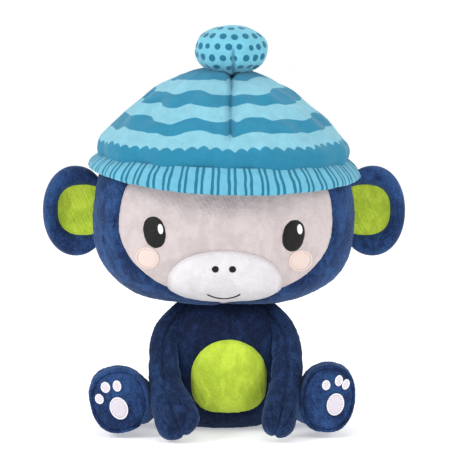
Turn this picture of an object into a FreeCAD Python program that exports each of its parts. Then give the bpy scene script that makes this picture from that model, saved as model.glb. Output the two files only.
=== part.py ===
"""Seated soft monkey with a loose knitted-look hat, built as its sewn pieces.

Millimetres, +Z up. The toy faces -Y, and +X is its own left. The origin is the
centre of the flat seat panel, on the surface the toy sits on. Every cover is a
fabric shell cut along its seams, and every cover has its own stuffing inside.
"""

import FreeCAD, Part
import math
import os

V = FreeCAD.Vector

# (alias, millimetres, meaning); every other size is worked out from these.
DRIVING_SIZES = [
    ("plush_thick", 1.6, "backing and pile of the short plush"),
    ("hat_thick", 2.0, "brushed jersey of the hat's crown"),
    ("stitch_high", 0.7, "height of satin stitch above the fabric"),
    ("head_half_width", 91.0, "head, middle to side"),
    ("head_half_depth", 64.0, "head, middle to face"),
    ("head_mid_z", 150.0, "height of the head's widest ring"),
    ("head_below", 63.5, "widest ring down to the chin"),
    ("head_above", 86.0, "widest ring up to the crown of the head"),
    ("face_half_width", 75.0, "grey face panel"),
    ("face_half_high", 52.0, "grey face panel"),
    ("face_mid_z", 148.0, "centre of the face panel"),
    ("muzzle_half_width", 38.5, "white muzzle"),
    ("muzzle_half_high", 19.5, "white muzzle"),
    ("muzzle_half_depth", 27.0, "white muzzle"),
    ("muzzle_mid_y", -52.0, "centre of the muzzle"),
    ("muzzle_mid_z", 112.5, "centre of the muzzle"),
    ("eye_half_width", 7.7, "embroidered eye"),
    ("eye_half_high", 11.0, "embroidered eye"),
    ("eye_out", 48.5, "eye centre from the middle"),
    ("eye_mid_z", 143.5, "eye centre"),
    ("glint_half_width", 2.1, "white stitch in the eye"),
    ("glint_half_high", 3.5, "white stitch in the eye"),
    ("glint_out", 3.6, "white stitch from the eye centre, towards +X in both eyes"),
    ("glint_up", 3.0, "white stitch above the eye centre"),
    ("cheek_radius", 8.0, "pink stitched cheek"),
    ("cheek_out", 53.0, "cheek centre from the middle"),
    ("cheek_mid_z", 124.0, "cheek centre"),
    ("nostril_radius", 2.3, "stitched nostril"),
    ("nostril_out", 5.9, "nostril from the middle"),
    ("nostril_mid_z", 119.8, "nostril height"),
    ("mouth_radius", 23.0, "curve of the stitched smile"),
    ("mouth_half_width", 11.0, "stitched smile"),
    ("mouth_low_z", 99.4, "lowest point of the smile"),
    ("mouth_thread", 1.2, "width of the stitched smile"),
    ("mouth_window_below", 3.0, "stitched arc kept below its lowest point"),
    ("mouth_window_above", 8.0, "stitched arc kept above its lowest point"),
    ("ear_axis_out", 97.4, "fold line of an ear from the middle"),
    ("ear_mid_z", 150.5, "ear centre"),
    ("ear_reach", 28.6, "fold line to the ear's outer edge"),
    ("ear_half_high", 31.5, "ear"),
    ("ear_half_thick", 8.5, "ear"),
    ("ear_inner_half_high", 17.5, "lime inner ear"),
    ("ear_inner_half_wide", 12.2, "lime inner ear"),
    ("ear_inner_reach", 18.5, "lime inner ear, from the fold line"),
    ("neck_radius", 13.0, "ball of stuffing pushed into the neck"),
    ("neck_stub_radius", 8.0, "its stub inside the head"),
    ("neck_mid_y", 4.0, "neck centre"),
    ("neck_mid_z", 83.0, "neck centre, on the nod axis"),
    ("neck_stub_top_z", 103.0, "top of the stub"),
    ("turn_gap", 0.4, "room between pieces that move past each other"),
    ("torso_half_width", 48.5, "torso at its widest"),
    ("torso_half_depth", 45.0, "torso at its deepest"),
    ("torso_high", 85.0, "seat to the neck"),
    ("tummy_half_width", 27.0, "lime tummy patch"),
    ("tummy_half_high", 26.0, "lime tummy patch"),
    ("tummy_mid_x", 3.0, "tummy patch centre"),
    ("tummy_mid_z", 40.0, "tummy patch centre"),
    ("pouch_half_width", 30.0, "pellet pouch in the seat"),
    ("pouch_half_high", 9.0, "pellet pouch in the seat"),
    ("pouch_mid_z", 13.0, "pellet pouch centre"),
    ("pouch_thick", 0.6, "cotton of the pellet pouch"),
    ("hat_half_width", 88.0, "hat at the seam of its brim"),
    ("hat_half_depth", 70.4, "hat at the seam of its brim"),
    ("hat_seam_z", 189.0, "seam between crown and brim"),
    ("hat_top_z", 248.0, "top of the crown"),
    ("brim_low_z", 173.0, "free edge of the brim"),
    ("brim_half_width", 93.8, "free edge of the brim"),
    ("brim_thick", 3.6, "doubled band of the brim"),
    ("pompom_half_width", 25.5, "pompom"),
    ("pompom_half_depth", 23.0, "pompom"),
    ("pompom_half_high", 17.0, "pompom"),
    ("pompom_mid_x", 5.0, "pompom centre"),
    ("pompom_mid_z", 266.0, "pompom centre"),
    ("gather_out", 2.0, "gathering stitch from the pompom centre"),
    ("gather_below", 13.0, "gathering stitch below the pompom centre"),
    ("gather_above", 2.0, "gathering stitch above the pompom centre"),
    ("shoulder_out", 44.5, "shoulder end of the arm's curve"),
    ("shoulder_y", -10.0, "shoulder end of the arm's curve"),
    ("shoulder_top_z", 80.5, "shoulder end of the arm's curve"),
    ("shoulder_radius", 8.6, "arm near the shoulder"),
    ("elbow_out", 46.0, "point that pulls the arm's curve outwards and down"),
    ("elbow_y", -32.0, "point that pulls the arm's curve outwards and down"),
    ("elbow_z", 44.0, "point that pulls the arm's curve outwards and down"),
    ("wrist_radius", 10.0, "arm at the wrist"),
    ("hand_out", 29.5, "hand end of the arm's curve"),
    ("hand_y", -74.5, "hand end of the arm's curve"),
    ("hand_z", 7.5, "hand end of the arm's curve"),
    ("hand_radius", 15.2, "hand at its widest"),
    ("arm_length", 90.0, "along the arm's curve, to shorten the stuffing at both ends"),
    ("finger_out", 4.5, "finger stitch to each side of the hand's middle"),
    ("finger_below", 6.0, "finger stitch below the hand's middle"),
    ("finger_above", 3.0, "finger stitch above the hand's middle"),
    ("hip_out", 66.0, "hip centre from the middle"),
    ("hip_back_y", 9.0, "back end of the thigh"),
    ("hip_radius", 16.5, "thigh at the hip, and its height above the floor"),
    ("foot_out", 71.0, "foot centre from the middle"),
    ("foot_half_width", 21.5, "foot"),
    ("foot_half_high", 23.2, "foot, and its centre above the floor"),
    ("foot_sole_y", -62.0, "sole, facing forwards"),
    ("sole_seam_back", 3.5, "seam of the sole behind its front"),
    ("sole_stitch_back", 8.0, "how far behind its front the sole is embroidered"),
    ("heel_pad_half_width", 6.3, "large stitched pad of the sole"),
    ("heel_pad_half_high", 7.8, "large stitched pad of the sole"),
    ("heel_pad_out", 3.5, "large pad outwards from the foot centre"),
    ("heel_pad_down", 6.5, "large pad below the foot centre"),
    ("toe_half_width", 2.7, "small stitched toe pads"),
    ("toe_half_high", 3.7, "small stitched toe pads"),
]
# Outwards and upwards from the foot centre to each toe pad.
TOE_PLACES = [(1.0, 8.5), (9.0, 8.0), (14.0, 1.5)]
SIDES = {"left": 1, "right": -1}
FAR = 800.0  # larger than the toy, for blocks that halve it
EYE_TILT = -9.0  # degrees, tops away from each other
POWER_BELOW = 3.2  # how boxy the head is under its widest ring; 2 is an ellipse
POWER_ABOVE = 2.0
ARM_FLATTEN = 0.92  # arm's second half size over its first
FRONT = V(0, -1, 0)
BACK = V(0, 1, 0)
STAND_UP = FreeCAD.Rotation(V(1, 0, 0), 90)
SIDEWAYS = FreeCAD.Rotation(V(0, 1, 0), V(0, 0, 1), V(1, 0, 0), "ZXY")

doc = FreeCAD.newDocument("soft_monkey")
sheet = doc.addObject("Spreadsheet::Sheet", "sizes")
sub_parts = []


def fill_sheet():
    """Write each driving size, its alias and its meaning in one row."""
    for row, (alias, value, meaning) in enumerate(DRIVING_SIZES, start=1):
        sheet.set(f"A{row}", alias)
        sheet.set(f"B{row}", str(value))
        sheet.setAlias(f"B{row}", alias)
        sheet.set(f"C{row}", meaning)
    doc.recompute()


def value_of(expression):
    """Number that an expression on the sheet gives now."""
    return float(sheet.evalExpression(str(expression)))


def point(x, y, z):
    """Point from three expressions."""
    return V(value_of(x), value_of(y), value_of(z))


def make(kind, name, bindings):
    """Add one document object and bind its properties to expressions."""
    feature = doc.addObject(kind, name)
    for prop, expression in bindings.items():
        feature.setExpression(prop, str(expression))
    return feature


def at(x, y, z):
    """Bindings that place an object."""
    return {"Placement.Base.x": x, "Placement.Base.y": y, "Placement.Base.z": z}


def sub_part(feature):
    """Keep a finished sub-part; its object name is also its label and file name."""
    sub_parts.append(feature)
    return feature


def cut(name, base, tool):
    """First solid without the second."""
    feature = doc.addObject("Part::Cut", name)
    feature.Base = base
    feature.Tool = tool
    return feature


def common(name, *shapes):
    """What all the solids share."""
    feature = doc.addObject("Part::MultiCommon", name)
    feature.Shapes = list(shapes)
    return feature


def fuse(name, *shapes):
    """All the solids joined."""
    feature = doc.addObject("Part::MultiFuse", name)
    feature.Shapes = list(shapes)
    return feature


def ellipsoid(name, half_x, half_y, half_z, place):
    """Whole ellipsoid with its three half sizes along X, Y and Z."""
    radii = {"Radius1": half_z, "Radius2": half_x, "Radius3": half_y}
    feature = make("Part::Ellipsoid", name, {**radii, **place})
    feature.Angle1 = -90
    feature.Angle2 = 90
    feature.Angle3 = 360
    return feature


def half_space(name, origin, normal):
    """Large block on the far side of a plane, along its normal."""
    feature = doc.addObject("Part::Box", name)
    feature.Length = FAR
    feature.Width = FAR
    feature.Height = FAR
    turn = FreeCAD.Rotation(V(1, 0, 0), normal)
    corner = origin - turn.multVec(V(0, FAR / 2, FAR / 2))
    feature.Placement = FreeCAD.Placement(corner, turn)
    return feature


def slab(name, across, x, low_z, high_z):
    """Thin upright block in front of the toy's middle plane."""
    bindings = {"Length": across, "Height": f"({high_z}) - ({low_z})"}
    feature = make("Part::Box", name, {**bindings, **at(f"({x}) - ({across}) / 2", -FAR, low_z)})
    feature.Width = FAR
    return feature


def oval(name, half_across, half_up, place, turn=FreeCAD.Rotation(), spin=0.0):
    """Elliptic ring in its own XY plane, turned into place; spin turns it in that plane."""
    upright = value_of(half_up) > value_of(half_across)
    radii = (half_up, half_across) if upright else (half_across, half_up)
    ring = doc.addObject("Part::Ellipse", name)
    in_plane = FreeCAD.Rotation(V(0, 0, 1), spin + (90 if upright else 0))
    ring.Placement = FreeCAD.Placement(V(0, 0, 0), turn * in_plane)
    for prop, expression in {"MajorRadius": radii[0], "MinorRadius": radii[1], **place}.items():
        ring.setExpression(prop, str(expression))
    return ring


def prism(name, half_x, half_z, x, z, spin=0.0):
    """Elliptic prism that runs from the toy's middle plane out in front of it."""
    feature = doc.addObject("Part::Extrusion", name)
    feature.Base = oval(name + "_outline", half_x, half_z, at(x, 0, z), STAND_UP, spin)
    feature.DirMode = "Custom"
    feature.Dir = FRONT
    feature.LengthFwd = FAR
    feature.Solid = True
    return feature


def loft(name, rings):
    """Closed smooth skin through a row of rings."""
    feature = doc.addObject("Part::Loft", name)
    feature.Sections = rings
    feature.Solid = True
    return feature


def super_ellipse(power, degrees):
    """Fractions (across, up) of the half sizes at each angle of a rounded outline."""
    turns = [math.radians(value) for value in degrees]
    return [(math.cos(turn) ** (2 / power), math.sin(turn) ** (2 / power)) for turn in turns]


def head_solid(name, inset):
    """Head as elliptic rings: boxier under its widest ring and rounder above it."""
    below = [(across, -up, "head_below") for across, up in super_ellipse(POWER_BELOW, (82, 67, 52, 36, 19))]
    above = [(across, up, "head_above") for across, up in super_ellipse(POWER_ABOVE, (0, 15, 30, 46, 62, 78))]
    rings = []
    for step, (across, up, reach) in enumerate(below + above):
        ring = oval(
            f"{name}_ring_{step}",
            f"sizes.head_half_width * {across:.4f} - ({inset})",
            f"sizes.head_half_depth * {across:.4f} - ({inset})",
            at(0, 0, f"sizes.head_mid_z + (sizes.{reach} - ({inset})) * {up:.4f}"),
        )
        rings.append(ring)
    return loft(name, rings)


def torso_solid(name, inset):
    """Pear-shaped torso on a flat seat; fractions of its height, width and depth."""
    profile = [
        (0.0, 0.74, 0.73), (0.035, 0.89, 0.87), (0.14, 0.98, 0.97), (0.33, 1.0, 1.0),
        (0.565, 0.885, 0.89), (0.755, 0.74, 0.73), (0.895, 0.62, 0.54), (0.965, 0.49, 0.4),
        (1.0, 0.3, 0.26),
    ]
    rings = []
    for step, (up, across, deep) in enumerate(profile):
        ring = oval(
            f"{name}_ring_{step}",
            f"sizes.torso_half_width * {across} - ({inset})",
            f"sizes.torso_half_depth * {deep} - ({inset})",
            at(0, 0, f"({inset}) + (sizes.torso_high - 2 * ({inset})) * {up}"),
        )
        rings.append(ring)
    return loft(name, rings)


def crown_solid(name, inset):
    """Hat crown: near-conical dome that rounds in at the seam of the brim."""
    profile = [
        (0.0, 0.99), (0.12, 1.0), (0.27, 0.915), (0.56, 0.727), (0.8, 0.54), (0.95, 0.32),
        (1.0, 0.136),
    ]
    depth = "sizes.hat_half_depth / sizes.hat_half_width"
    rings = []
    for step, (up, across) in enumerate(profile):
        wide = f"(sizes.hat_half_width * {across} - ({inset}))"
        height = f"sizes.hat_seam_z + (sizes.hat_top_z - ({inset}) - sizes.hat_seam_z) * {up}"
        rings.append(oval(f"{name}_ring_{step}", wide, f"{wide} * {depth}", at(0, 0, height)))
    return loft(name, rings)


def brim_solid(name, inset):
    """Brim as a plain flared band between its seam and its free edge."""
    depth = "sizes.hat_half_depth / sizes.hat_half_width"
    edges = [("sizes.hat_half_width", "sizes.hat_seam_z"), ("sizes.brim_half_width", "sizes.brim_low_z")]
    rings = []
    for step, (half_width, height) in enumerate(edges):
        wide = f"({half_width} - ({inset}))"
        rings.append(oval(f"{name}_ring_{step}", wide, f"{wide} * {depth}", at(0, 0, height)))
    return loft(name, rings)


def leg_solid(name, side, inset):
    """Leg as upright rings from the hip end forwards to the sole.

    Each row is a place along Y between the hip end and the sole, how far the ring is on
    from the hip to the foot, and its fraction of the hip's or the foot's half sizes.
    """
    profile = [
        (0.0, 0.0, 0.28), (0.035, 0.0, 0.62), (0.1, 0.0, 0.86), (0.21, 0.0, 1.0),
        (0.4, 0.12, 0.96), (0.57, 0.35, 0.84), (0.655, 0.8, 0.84), (0.72, 1.0, 0.96),
        (0.8, 1.0, 1.0), (0.9, 1.0, 0.99), (0.965, 1.0, 0.91), (1.0, 1.0, 0.76),
    ]
    rings = []
    for step, (forward, foot, across) in enumerate(profile):
        run = f"(sizes.foot_sole_y - sizes.hip_back_y + 2 * ({inset})) * {forward}"
        half_x = f"(sizes.hip_radius * {1 - foot} + sizes.foot_half_width * {foot}) * {across} - ({inset})"
        half_z = f"(sizes.hip_radius * {1 - foot} + sizes.foot_half_high * {foot}) * {across} - ({inset})"
        x = f"{side} * (sizes.hip_out * {1 - foot} + sizes.foot_out * {foot})"
        z = f"sizes.hip_radius * {1 - foot} + sizes.foot_half_high * {foot}"
        place = at(x, f"sizes.hip_back_y - ({inset}) + {run}", z)
        rings.append(oval(f"{name}_ring_{step}", half_x, half_z, place, STAND_UP))
    return loft(name, rings)


def arm_path(side, along):
    """Place and direction on the arm's curve from the shoulder, past the elbow, to the hand."""
    start = point(f"{side} * sizes.shoulder_out", "sizes.shoulder_y", "sizes.shoulder_top_z")
    bend = point(f"{side} * sizes.elbow_out", "sizes.elbow_y", "sizes.elbow_z")
    end = point(f"{side} * sizes.hand_out", "sizes.hand_y", "sizes.hand_z")
    back = 1 - along
    place = start * back ** 2 + bend * (2 * along * back) + end * along ** 2
    return place, (bend - start) * back + (end - bend) * along


def arm_solid(name, side, inset):
    """Arm as rings square to its curve; each row is a place along it and a half size."""
    margin = value_of(f"({inset}) / sizes.arm_length")
    profile = [
        (0.0, "sizes.shoulder_radius * 0.35"), (0.035, "sizes.shoulder_radius * 0.78"),
        (0.11, "sizes.shoulder_radius"), (0.32, "sizes.shoulder_radius * 1.06"),
        (0.55, "sizes.wrist_radius"), (0.7, "sizes.wrist_radius * 1.15"),
        (0.84, "sizes.hand_radius"), (0.94, "sizes.hand_radius * 0.84"), (1.0, "sizes.hand_radius * 0.45"),
    ]
    rings = []
    for step, (along, radius) in enumerate(profile):
        place, direction = arm_path(side, margin + (1 - 2 * margin) * along)
        turn = FreeCAD.Rotation(V(1, 0, 0), V(0, 0, 0), direction, "ZXY")
        half = f"{radius} - ({inset})"
        spot = at(place.x, place.y, place.z)
        rings.append(oval(f"{name}_ring_{step}", half, f"({half}) * {ARM_FLATTEN}", spot, turn))
    return loft(name, rings)


def ear_solid(name, side, inset):
    """Puffed ear; fractions of its reach from the fold line, its thickness and its height."""
    profile = [
        (-0.18, 0.2, 0.35), (-0.13, 0.44, 0.55), (0.0, 0.61, 0.76), (0.2, 0.92, 0.94),
        (0.42, 1.0, 1.0), (0.7, 0.86, 0.86), (0.9, 0.5, 0.55), (1.0, 0.2, 0.22),
    ]
    rings = []
    for step, (outwards, thick, up) in enumerate(profile):
        run = f"(sizes.ear_reach - ({inset})) * {outwards}"
        ring = oval(
            f"{name}_ring_{step}",
            f"(sizes.ear_half_thick - ({inset})) * {thick}",
            f"(sizes.ear_half_high - ({inset})) * {up}",
            at(f"{side} * (sizes.ear_axis_out + {run})", 0, "sizes.ear_mid_z"),
            SIDEWAYS,
        )
        rings.append(ring)
    return loft(name, rings)


def build_torso():
    """Two back panels, a front panel, the flat seat, the patch, stuffing and pellets."""
    outer = torso_solid("torso_outside", 0)
    inner = torso_solid("torso_inside", "sizes.plush_thick")
    neck_room = neck_ball("torso_neck_room", "sizes.turn_gap")
    skin = cut("torso_skin", cut("torso_shell", outer, inner), neck_room)
    above_seat = half_space("torso_above_seat", point(0, 0, "sizes.plush_thick"), V(0, 0, 1))
    below_seat = half_space("torso_below_seat", point(0, 0, "sizes.plush_thick"), V(0, 0, -1))
    front = half_space("torso_front_half", V(0, 0, 0), FRONT)
    back = half_space("torso_back_half", V(0, 0, 0), BACK)
    patch = prism(
        "tummy_outline", "sizes.tummy_half_width", "sizes.tummy_half_high",
        "sizes.tummy_mid_x", "sizes.tummy_mid_z",
    )
    front_skin = common("torso_front_skin", skin, front, above_seat)
    sub_part(cut("torso_front_panel", front_skin, patch))
    sub_part(common("tummy_patch", front_skin, patch))
    for name, side in SIDES.items():
        half = half_space(f"torso_half_{name}", V(0, 0, 0), V(side, 0, 0))
        sub_part(common(f"torso_back_panel_{name}", skin, back, above_seat, half))
    sub_part(common("seat_panel", skin, below_seat))
    pouch_place = at(0, 0, "sizes.pouch_mid_z")
    pouch_sizes = ["sizes.pouch_half_width", "sizes.pouch_half_width", "sizes.pouch_half_high"]
    pouch = ellipsoid("pouch_outside", *pouch_sizes, pouch_place)
    pellets = ellipsoid("pellet_fill", *[f"{value} - sizes.pouch_thick" for value in pouch_sizes], pouch_place)
    sub_part(pellets)
    sub_part(cut("pellet_pouch", pouch, pellets))
    sub_part(cut("torso_stuffing", cut("torso_core", inner, neck_room), pouch))


def neck_ball(name, gap):
    """Ball on the nod axis, larger by the gap."""
    place = at(0, "sizes.neck_mid_y", "sizes.neck_mid_z")
    return make("Part::Sphere", name, {"Radius": f"sizes.neck_radius + {gap}", **place})


def neck_solid(name, gap):
    """Ball with the stub that the head turns on, larger by the gap."""
    sizes = {
        "Radius": f"sizes.neck_stub_radius + {gap}",
        "Height": f"sizes.neck_stub_top_z + {gap} - sizes.neck_mid_z",
    }
    stub = make("Part::Cylinder", name + "_stub", {**sizes, **at(0, "sizes.neck_mid_y", "sizes.neck_mid_z")})
    return fuse(name, neck_ball(name + "_ball", gap), stub)


def build_head():
    """Navy panels round a grey face panel, the muzzle, the stitching and the stuffing."""
    outer = head_solid("head_outside", 0)
    inner = head_solid("head_inside", "sizes.plush_thick")
    neck_room = neck_solid("head_neck_room", "sizes.turn_gap")
    skin = cut("head_skin", cut("head_shell", outer, inner), neck_room)
    front = half_space("head_front_half", V(0, 0, 0), FRONT)
    back = half_space("head_back_half", V(0, 0, 0), BACK)
    face = prism("face_outline", "sizes.face_half_width", "sizes.face_half_high", 0, "sizes.face_mid_z")
    front_skin = common("head_front_skin", skin, front)
    sub_part(common("face_panel", front_skin, face))
    surround = cut("head_surround", front_skin, face)
    for name, side in SIDES.items():
        half = half_space(f"head_half_{name}", V(0, 0, 0), V(side, 0, 0))
        sub_part(common(f"head_side_panel_{name}", surround, half))
        sub_part(common(f"head_back_panel_{name}", skin, back, half))
    sub_part(cut("head_stuffing", inner, neck_room))
    build_face_stitching(outer)
    build_muzzle(outer)


def build_face_stitching(head_outer):
    """Eyes with a white stitch each and round cheeks, as thin raised stitching."""
    layer = cut("head_stitch_layer", head_solid("head_stitch_outside", "-sizes.stitch_high"), head_outer)
    for name, side in SIDES.items():
        eye_x = f"{side} * sizes.eye_out"
        eye = prism(
            f"eye_outline_{name}", "sizes.eye_half_width", "sizes.eye_half_high", eye_x,
            "sizes.eye_mid_z", side * EYE_TILT,
        )
        glint = prism(
            f"glint_outline_{name}", "sizes.glint_half_width", "sizes.glint_half_high",
            f"{eye_x} + sizes.glint_out", "sizes.eye_mid_z + sizes.glint_up",
        )
        stitched = common(f"eye_stitched_{name}", layer, eye)
        sub_part(cut(f"eye_{name}", stitched, glint))
        sub_part(common(f"eye_glint_{name}", stitched, glint))
        cheek = prism(
            f"cheek_outline_{name}", "sizes.cheek_radius", "sizes.cheek_radius",
            f"{side} * sizes.cheek_out", "sizes.cheek_mid_z",
        )
        sub_part(common(f"cheek_{name}", layer, cheek))


def muzzle_solid(name, inset):
    """Whole muzzle ellipsoid; the head takes away its back."""
    halves = [f"sizes.muzzle_half_{way} - ({inset})" for way in ("width", "depth", "high")]
    return ellipsoid(name, *halves, at(0, "sizes.muzzle_mid_y", "sizes.muzzle_mid_z"))


def build_muzzle(head_outer):
    """White muzzle cover and its stuffing in front of the face, nostrils and smile."""
    outer = muzzle_solid("muzzle_outside", 0)
    inner = muzzle_solid("muzzle_inside", "sizes.plush_thick")
    sub_part(cut("muzzle_cover", cut("muzzle_shell", outer, inner), head_outer))
    sub_part(cut("muzzle_stuffing", inner, head_outer))
    raised = cut("muzzle_stitch_shell", muzzle_solid("muzzle_stitch_outside", "-sizes.stitch_high"), outer)
    layer = cut("muzzle_stitch_layer", raised, head_outer)
    nostrils = [
        prism(
            f"nostril_outline_{name}", "sizes.nostril_radius", "sizes.nostril_radius",
            f"{side} * sizes.nostril_out", "sizes.nostril_mid_z",
        )
        for name, side in SIDES.items()
    ]
    sub_part(common("nostril_stitches", layer, fuse("nostril_outlines", *nostrils)))
    mid_z = "sizes.mouth_low_z + sizes.mouth_radius"
    outside = prism(
        "mouth_outside", "sizes.mouth_radius + sizes.mouth_thread / 2",
        "sizes.mouth_radius + sizes.mouth_thread / 2", 0, mid_z,
    )
    inside = prism(
        "mouth_inside", "sizes.mouth_radius - sizes.mouth_thread / 2",
        "sizes.mouth_radius - sizes.mouth_thread / 2", 0, mid_z,
    )
    lips = slab(
        "mouth_window", "2 * sizes.mouth_half_width", 0,
        "sizes.mouth_low_z - sizes.mouth_window_below", "sizes.mouth_low_z + sizes.mouth_window_above",
    )
    sub_part(common("mouth_stitch", layer, cut("mouth_ring", outside, inside), lips))


def build_ear(name, side):
    """Front rim, lime inner, back and stuffing of one ear."""
    outer = ear_solid(f"ear_outside_{name}", side, 0)
    inner = sub_part(ear_solid(f"ear_stuffing_{name}", side, "sizes.plush_thick"))
    skin = cut(f"ear_skin_{name}", outer, inner)
    patch = prism(
        f"ear_inner_outline_{name}", "sizes.ear_inner_half_wide", "sizes.ear_inner_half_high",
        f"{side} * (sizes.ear_axis_out + sizes.ear_inner_reach - sizes.ear_inner_half_wide)",
        "sizes.ear_mid_z",
    )
    front = half_space(f"ear_front_half_{name}", V(0, 0, 0), FRONT)
    back = half_space(f"ear_back_half_{name}", V(0, 0, 0), BACK)
    front_skin = common(f"ear_front_skin_{name}", skin, front)
    sub_part(cut(f"ear_front_panel_{name}", front_skin, patch))
    sub_part(common(f"ear_inner_patch_{name}", front_skin, patch))
    sub_part(common(f"ear_back_panel_{name}", skin, back))


def build_hat():
    """Crown in a front and a back half, and the doubled brim."""
    inner = crown_solid("crown_inside", "sizes.hat_thick")
    skin = cut("hat_crown_skin", crown_solid("crown_outside", 0), inner)
    for name, normal in {"front": FRONT, "back": BACK}.items():
        sub_part(common(f"hat_crown_{name}", skin, half_space(f"hat_half_{name}", V(0, 0, 0), normal)))
    sub_part(cut("hat_brim", brim_solid("brim_outside", 0), brim_solid("brim_inside", "sizes.brim_thick")))


def build_pompom():
    """Stuffed ball of jersey with the gathering stitch down its front."""
    place = at("sizes.pompom_mid_x", 0, "sizes.pompom_mid_z")

    def ball(name, inset):
        """Pompom ellipsoid, smaller by the inset."""
        halves = [f"sizes.pompom_half_{way} - ({inset})" for way in ("width", "depth", "high")]
        return ellipsoid(name, *halves, place)

    outer = ball("pompom_outside", 0)
    inner = sub_part(ball("pompom_stuffing", "sizes.hat_thick"))
    sub_part(cut("pompom_cover", outer, inner))
    layer = cut("pompom_stitch_layer", ball("pompom_stitch_outside", "-sizes.stitch_high"), outer)
    strip = slab(
        "pompom_gather_window", "sizes.stitch_high * 2", "sizes.pompom_mid_x + sizes.gather_out",
        "sizes.pompom_mid_z - sizes.gather_below", "sizes.pompom_mid_z + sizes.gather_above",
    )
    sub_part(common("pompom_gather_stitch", layer, strip))


def build_arm(name, side):
    """Outer and inner arm panels, stuffing, and the stitches that part the fingers."""
    outer = arm_solid(f"arm_outside_{name}", side, "0")
    inner = arm_solid(f"arm_stuffing_{name}", side, "sizes.plush_thick")
    skin = cut(f"arm_skin_{name}", outer, sub_part(inner))
    shoulder, _ = arm_path(side, 0.0)
    hand, _ = arm_path(side, 0.9)
    along = (hand - shoulder).normalize()
    outwards = V(side, 0, 0) - along * (along.x * side)
    for panel, normal in {"outer": outwards, "inner": outwards * -1}.items():
        half = half_space(f"arm_half_{panel}_{name}", shoulder, normal)
        sub_part(common(f"arm_{panel}_panel_{name}", skin, half))
    layer = cut(f"arm_stitch_layer_{name}", arm_solid(f"arm_raised_{name}", side, "-sizes.stitch_high"), outer)
    slabs = [
        slab(
            f"finger_window_{place}_{name}", "sizes.stitch_high * 2", f"{hand.x} + {way} * sizes.finger_out",
            f"{hand.z} - sizes.finger_below", f"{hand.z} + sizes.finger_above",
        )
        for place, way in {"a": -1, "b": 1}.items()
    ]
    front = half_space(f"hand_front_half_{name}", hand, FRONT)
    sub_part(common(f"finger_stitches_{name}", layer, fuse(f"finger_windows_{name}", *slabs), front))


def build_leg(name, side):
    """Leg cover with its upright sole, stitched pads and stuffing."""
    outer = leg_solid(f"leg_outside_{name}", side, "0")
    inner = leg_solid(f"leg_stuffing_{name}", side, "sizes.plush_thick")
    skin = cut(f"leg_skin_{name}", outer, sub_part(inner))
    seam = point(0, "sizes.foot_sole_y + sizes.sole_seam_back", 0)
    sub_part(common(f"leg_cover_{name}", skin, half_space(f"leg_behind_seam_{name}", seam, BACK)))
    sub_part(common(f"foot_sole_{name}", skin, half_space(f"leg_before_seam_{name}", seam, FRONT)))
    raised = leg_solid(f"leg_raised_{name}", side, "-sizes.stitch_high")
    stitched = point(0, "sizes.foot_sole_y + sizes.sole_stitch_back", 0)
    sole_side = half_space(f"sole_side_{name}", stitched, FRONT)
    layer = common(f"leg_stitch_layer_{name}", cut(f"leg_stitch_shell_{name}", raised, outer), sole_side)
    foot_x = f"{side} * sizes.foot_out"
    heel = prism(
        f"heel_outline_{name}", "sizes.heel_pad_half_width", "sizes.heel_pad_half_high",
        f"{foot_x} + {side} * sizes.heel_pad_out", "sizes.foot_half_high - sizes.heel_pad_down",
    )
    sub_part(common(f"heel_pad_{name}", layer, heel))
    toes = [
        prism(
            f"toe_outline_{step}_{name}", "sizes.toe_half_width", "sizes.toe_half_high",
            f"{foot_x} + {side * outwards}", f"sizes.foot_half_high + {up}",
        )
        for step, (outwards, up) in enumerate(TOE_PLACES)
    ]
    sub_part(common(f"toe_pads_{name}", layer, fuse(f"toe_outlines_{name}", *toes)))


def check_and_export():
    """Stop on any failed object, then write each sub-part's solid to its file."""
    doc.recompute()
    failed = [item.Name for item in doc.Objects if "Invalid" in item.State or "Error" in item.State]
    if failed:
        raise RuntimeError(f"failed objects: {failed}")
    for feature in sub_parts:
        shape = feature.Shape
        if shape.isNull() or not shape.isValid() or not shape.Solids:
            raise RuntimeError(f"bad shape: {feature.Label}")
    os.makedirs("parts", exist_ok=True)
    for feature in sub_parts:
        feature.Shape.exportStep(f"parts/{feature.Label}.step")
        print(f"{feature.Label}: {len(feature.Shape.Solids)} solid(s), {feature.Shape.Volume:.0f} mm3")
    print(f"{len(sub_parts)} sub-parts written")


fill_sheet()
build_torso()
sub_part(neck_solid("neck_stuffing", 0))
build_head()
build_hat()
build_pompom()
for side_name, side_sign in SIDES.items():
    build_ear(side_name, side_sign)
    build_arm(side_name, side_sign)
    build_leg(side_name, side_sign)
check_and_export()
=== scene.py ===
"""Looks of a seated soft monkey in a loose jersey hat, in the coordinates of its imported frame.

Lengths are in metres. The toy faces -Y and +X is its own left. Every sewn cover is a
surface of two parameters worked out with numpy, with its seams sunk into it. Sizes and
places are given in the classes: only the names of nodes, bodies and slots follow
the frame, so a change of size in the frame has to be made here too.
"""

import logging
import math
from collections.abc import Callable
from dataclasses import dataclass
from enum import Enum

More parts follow.
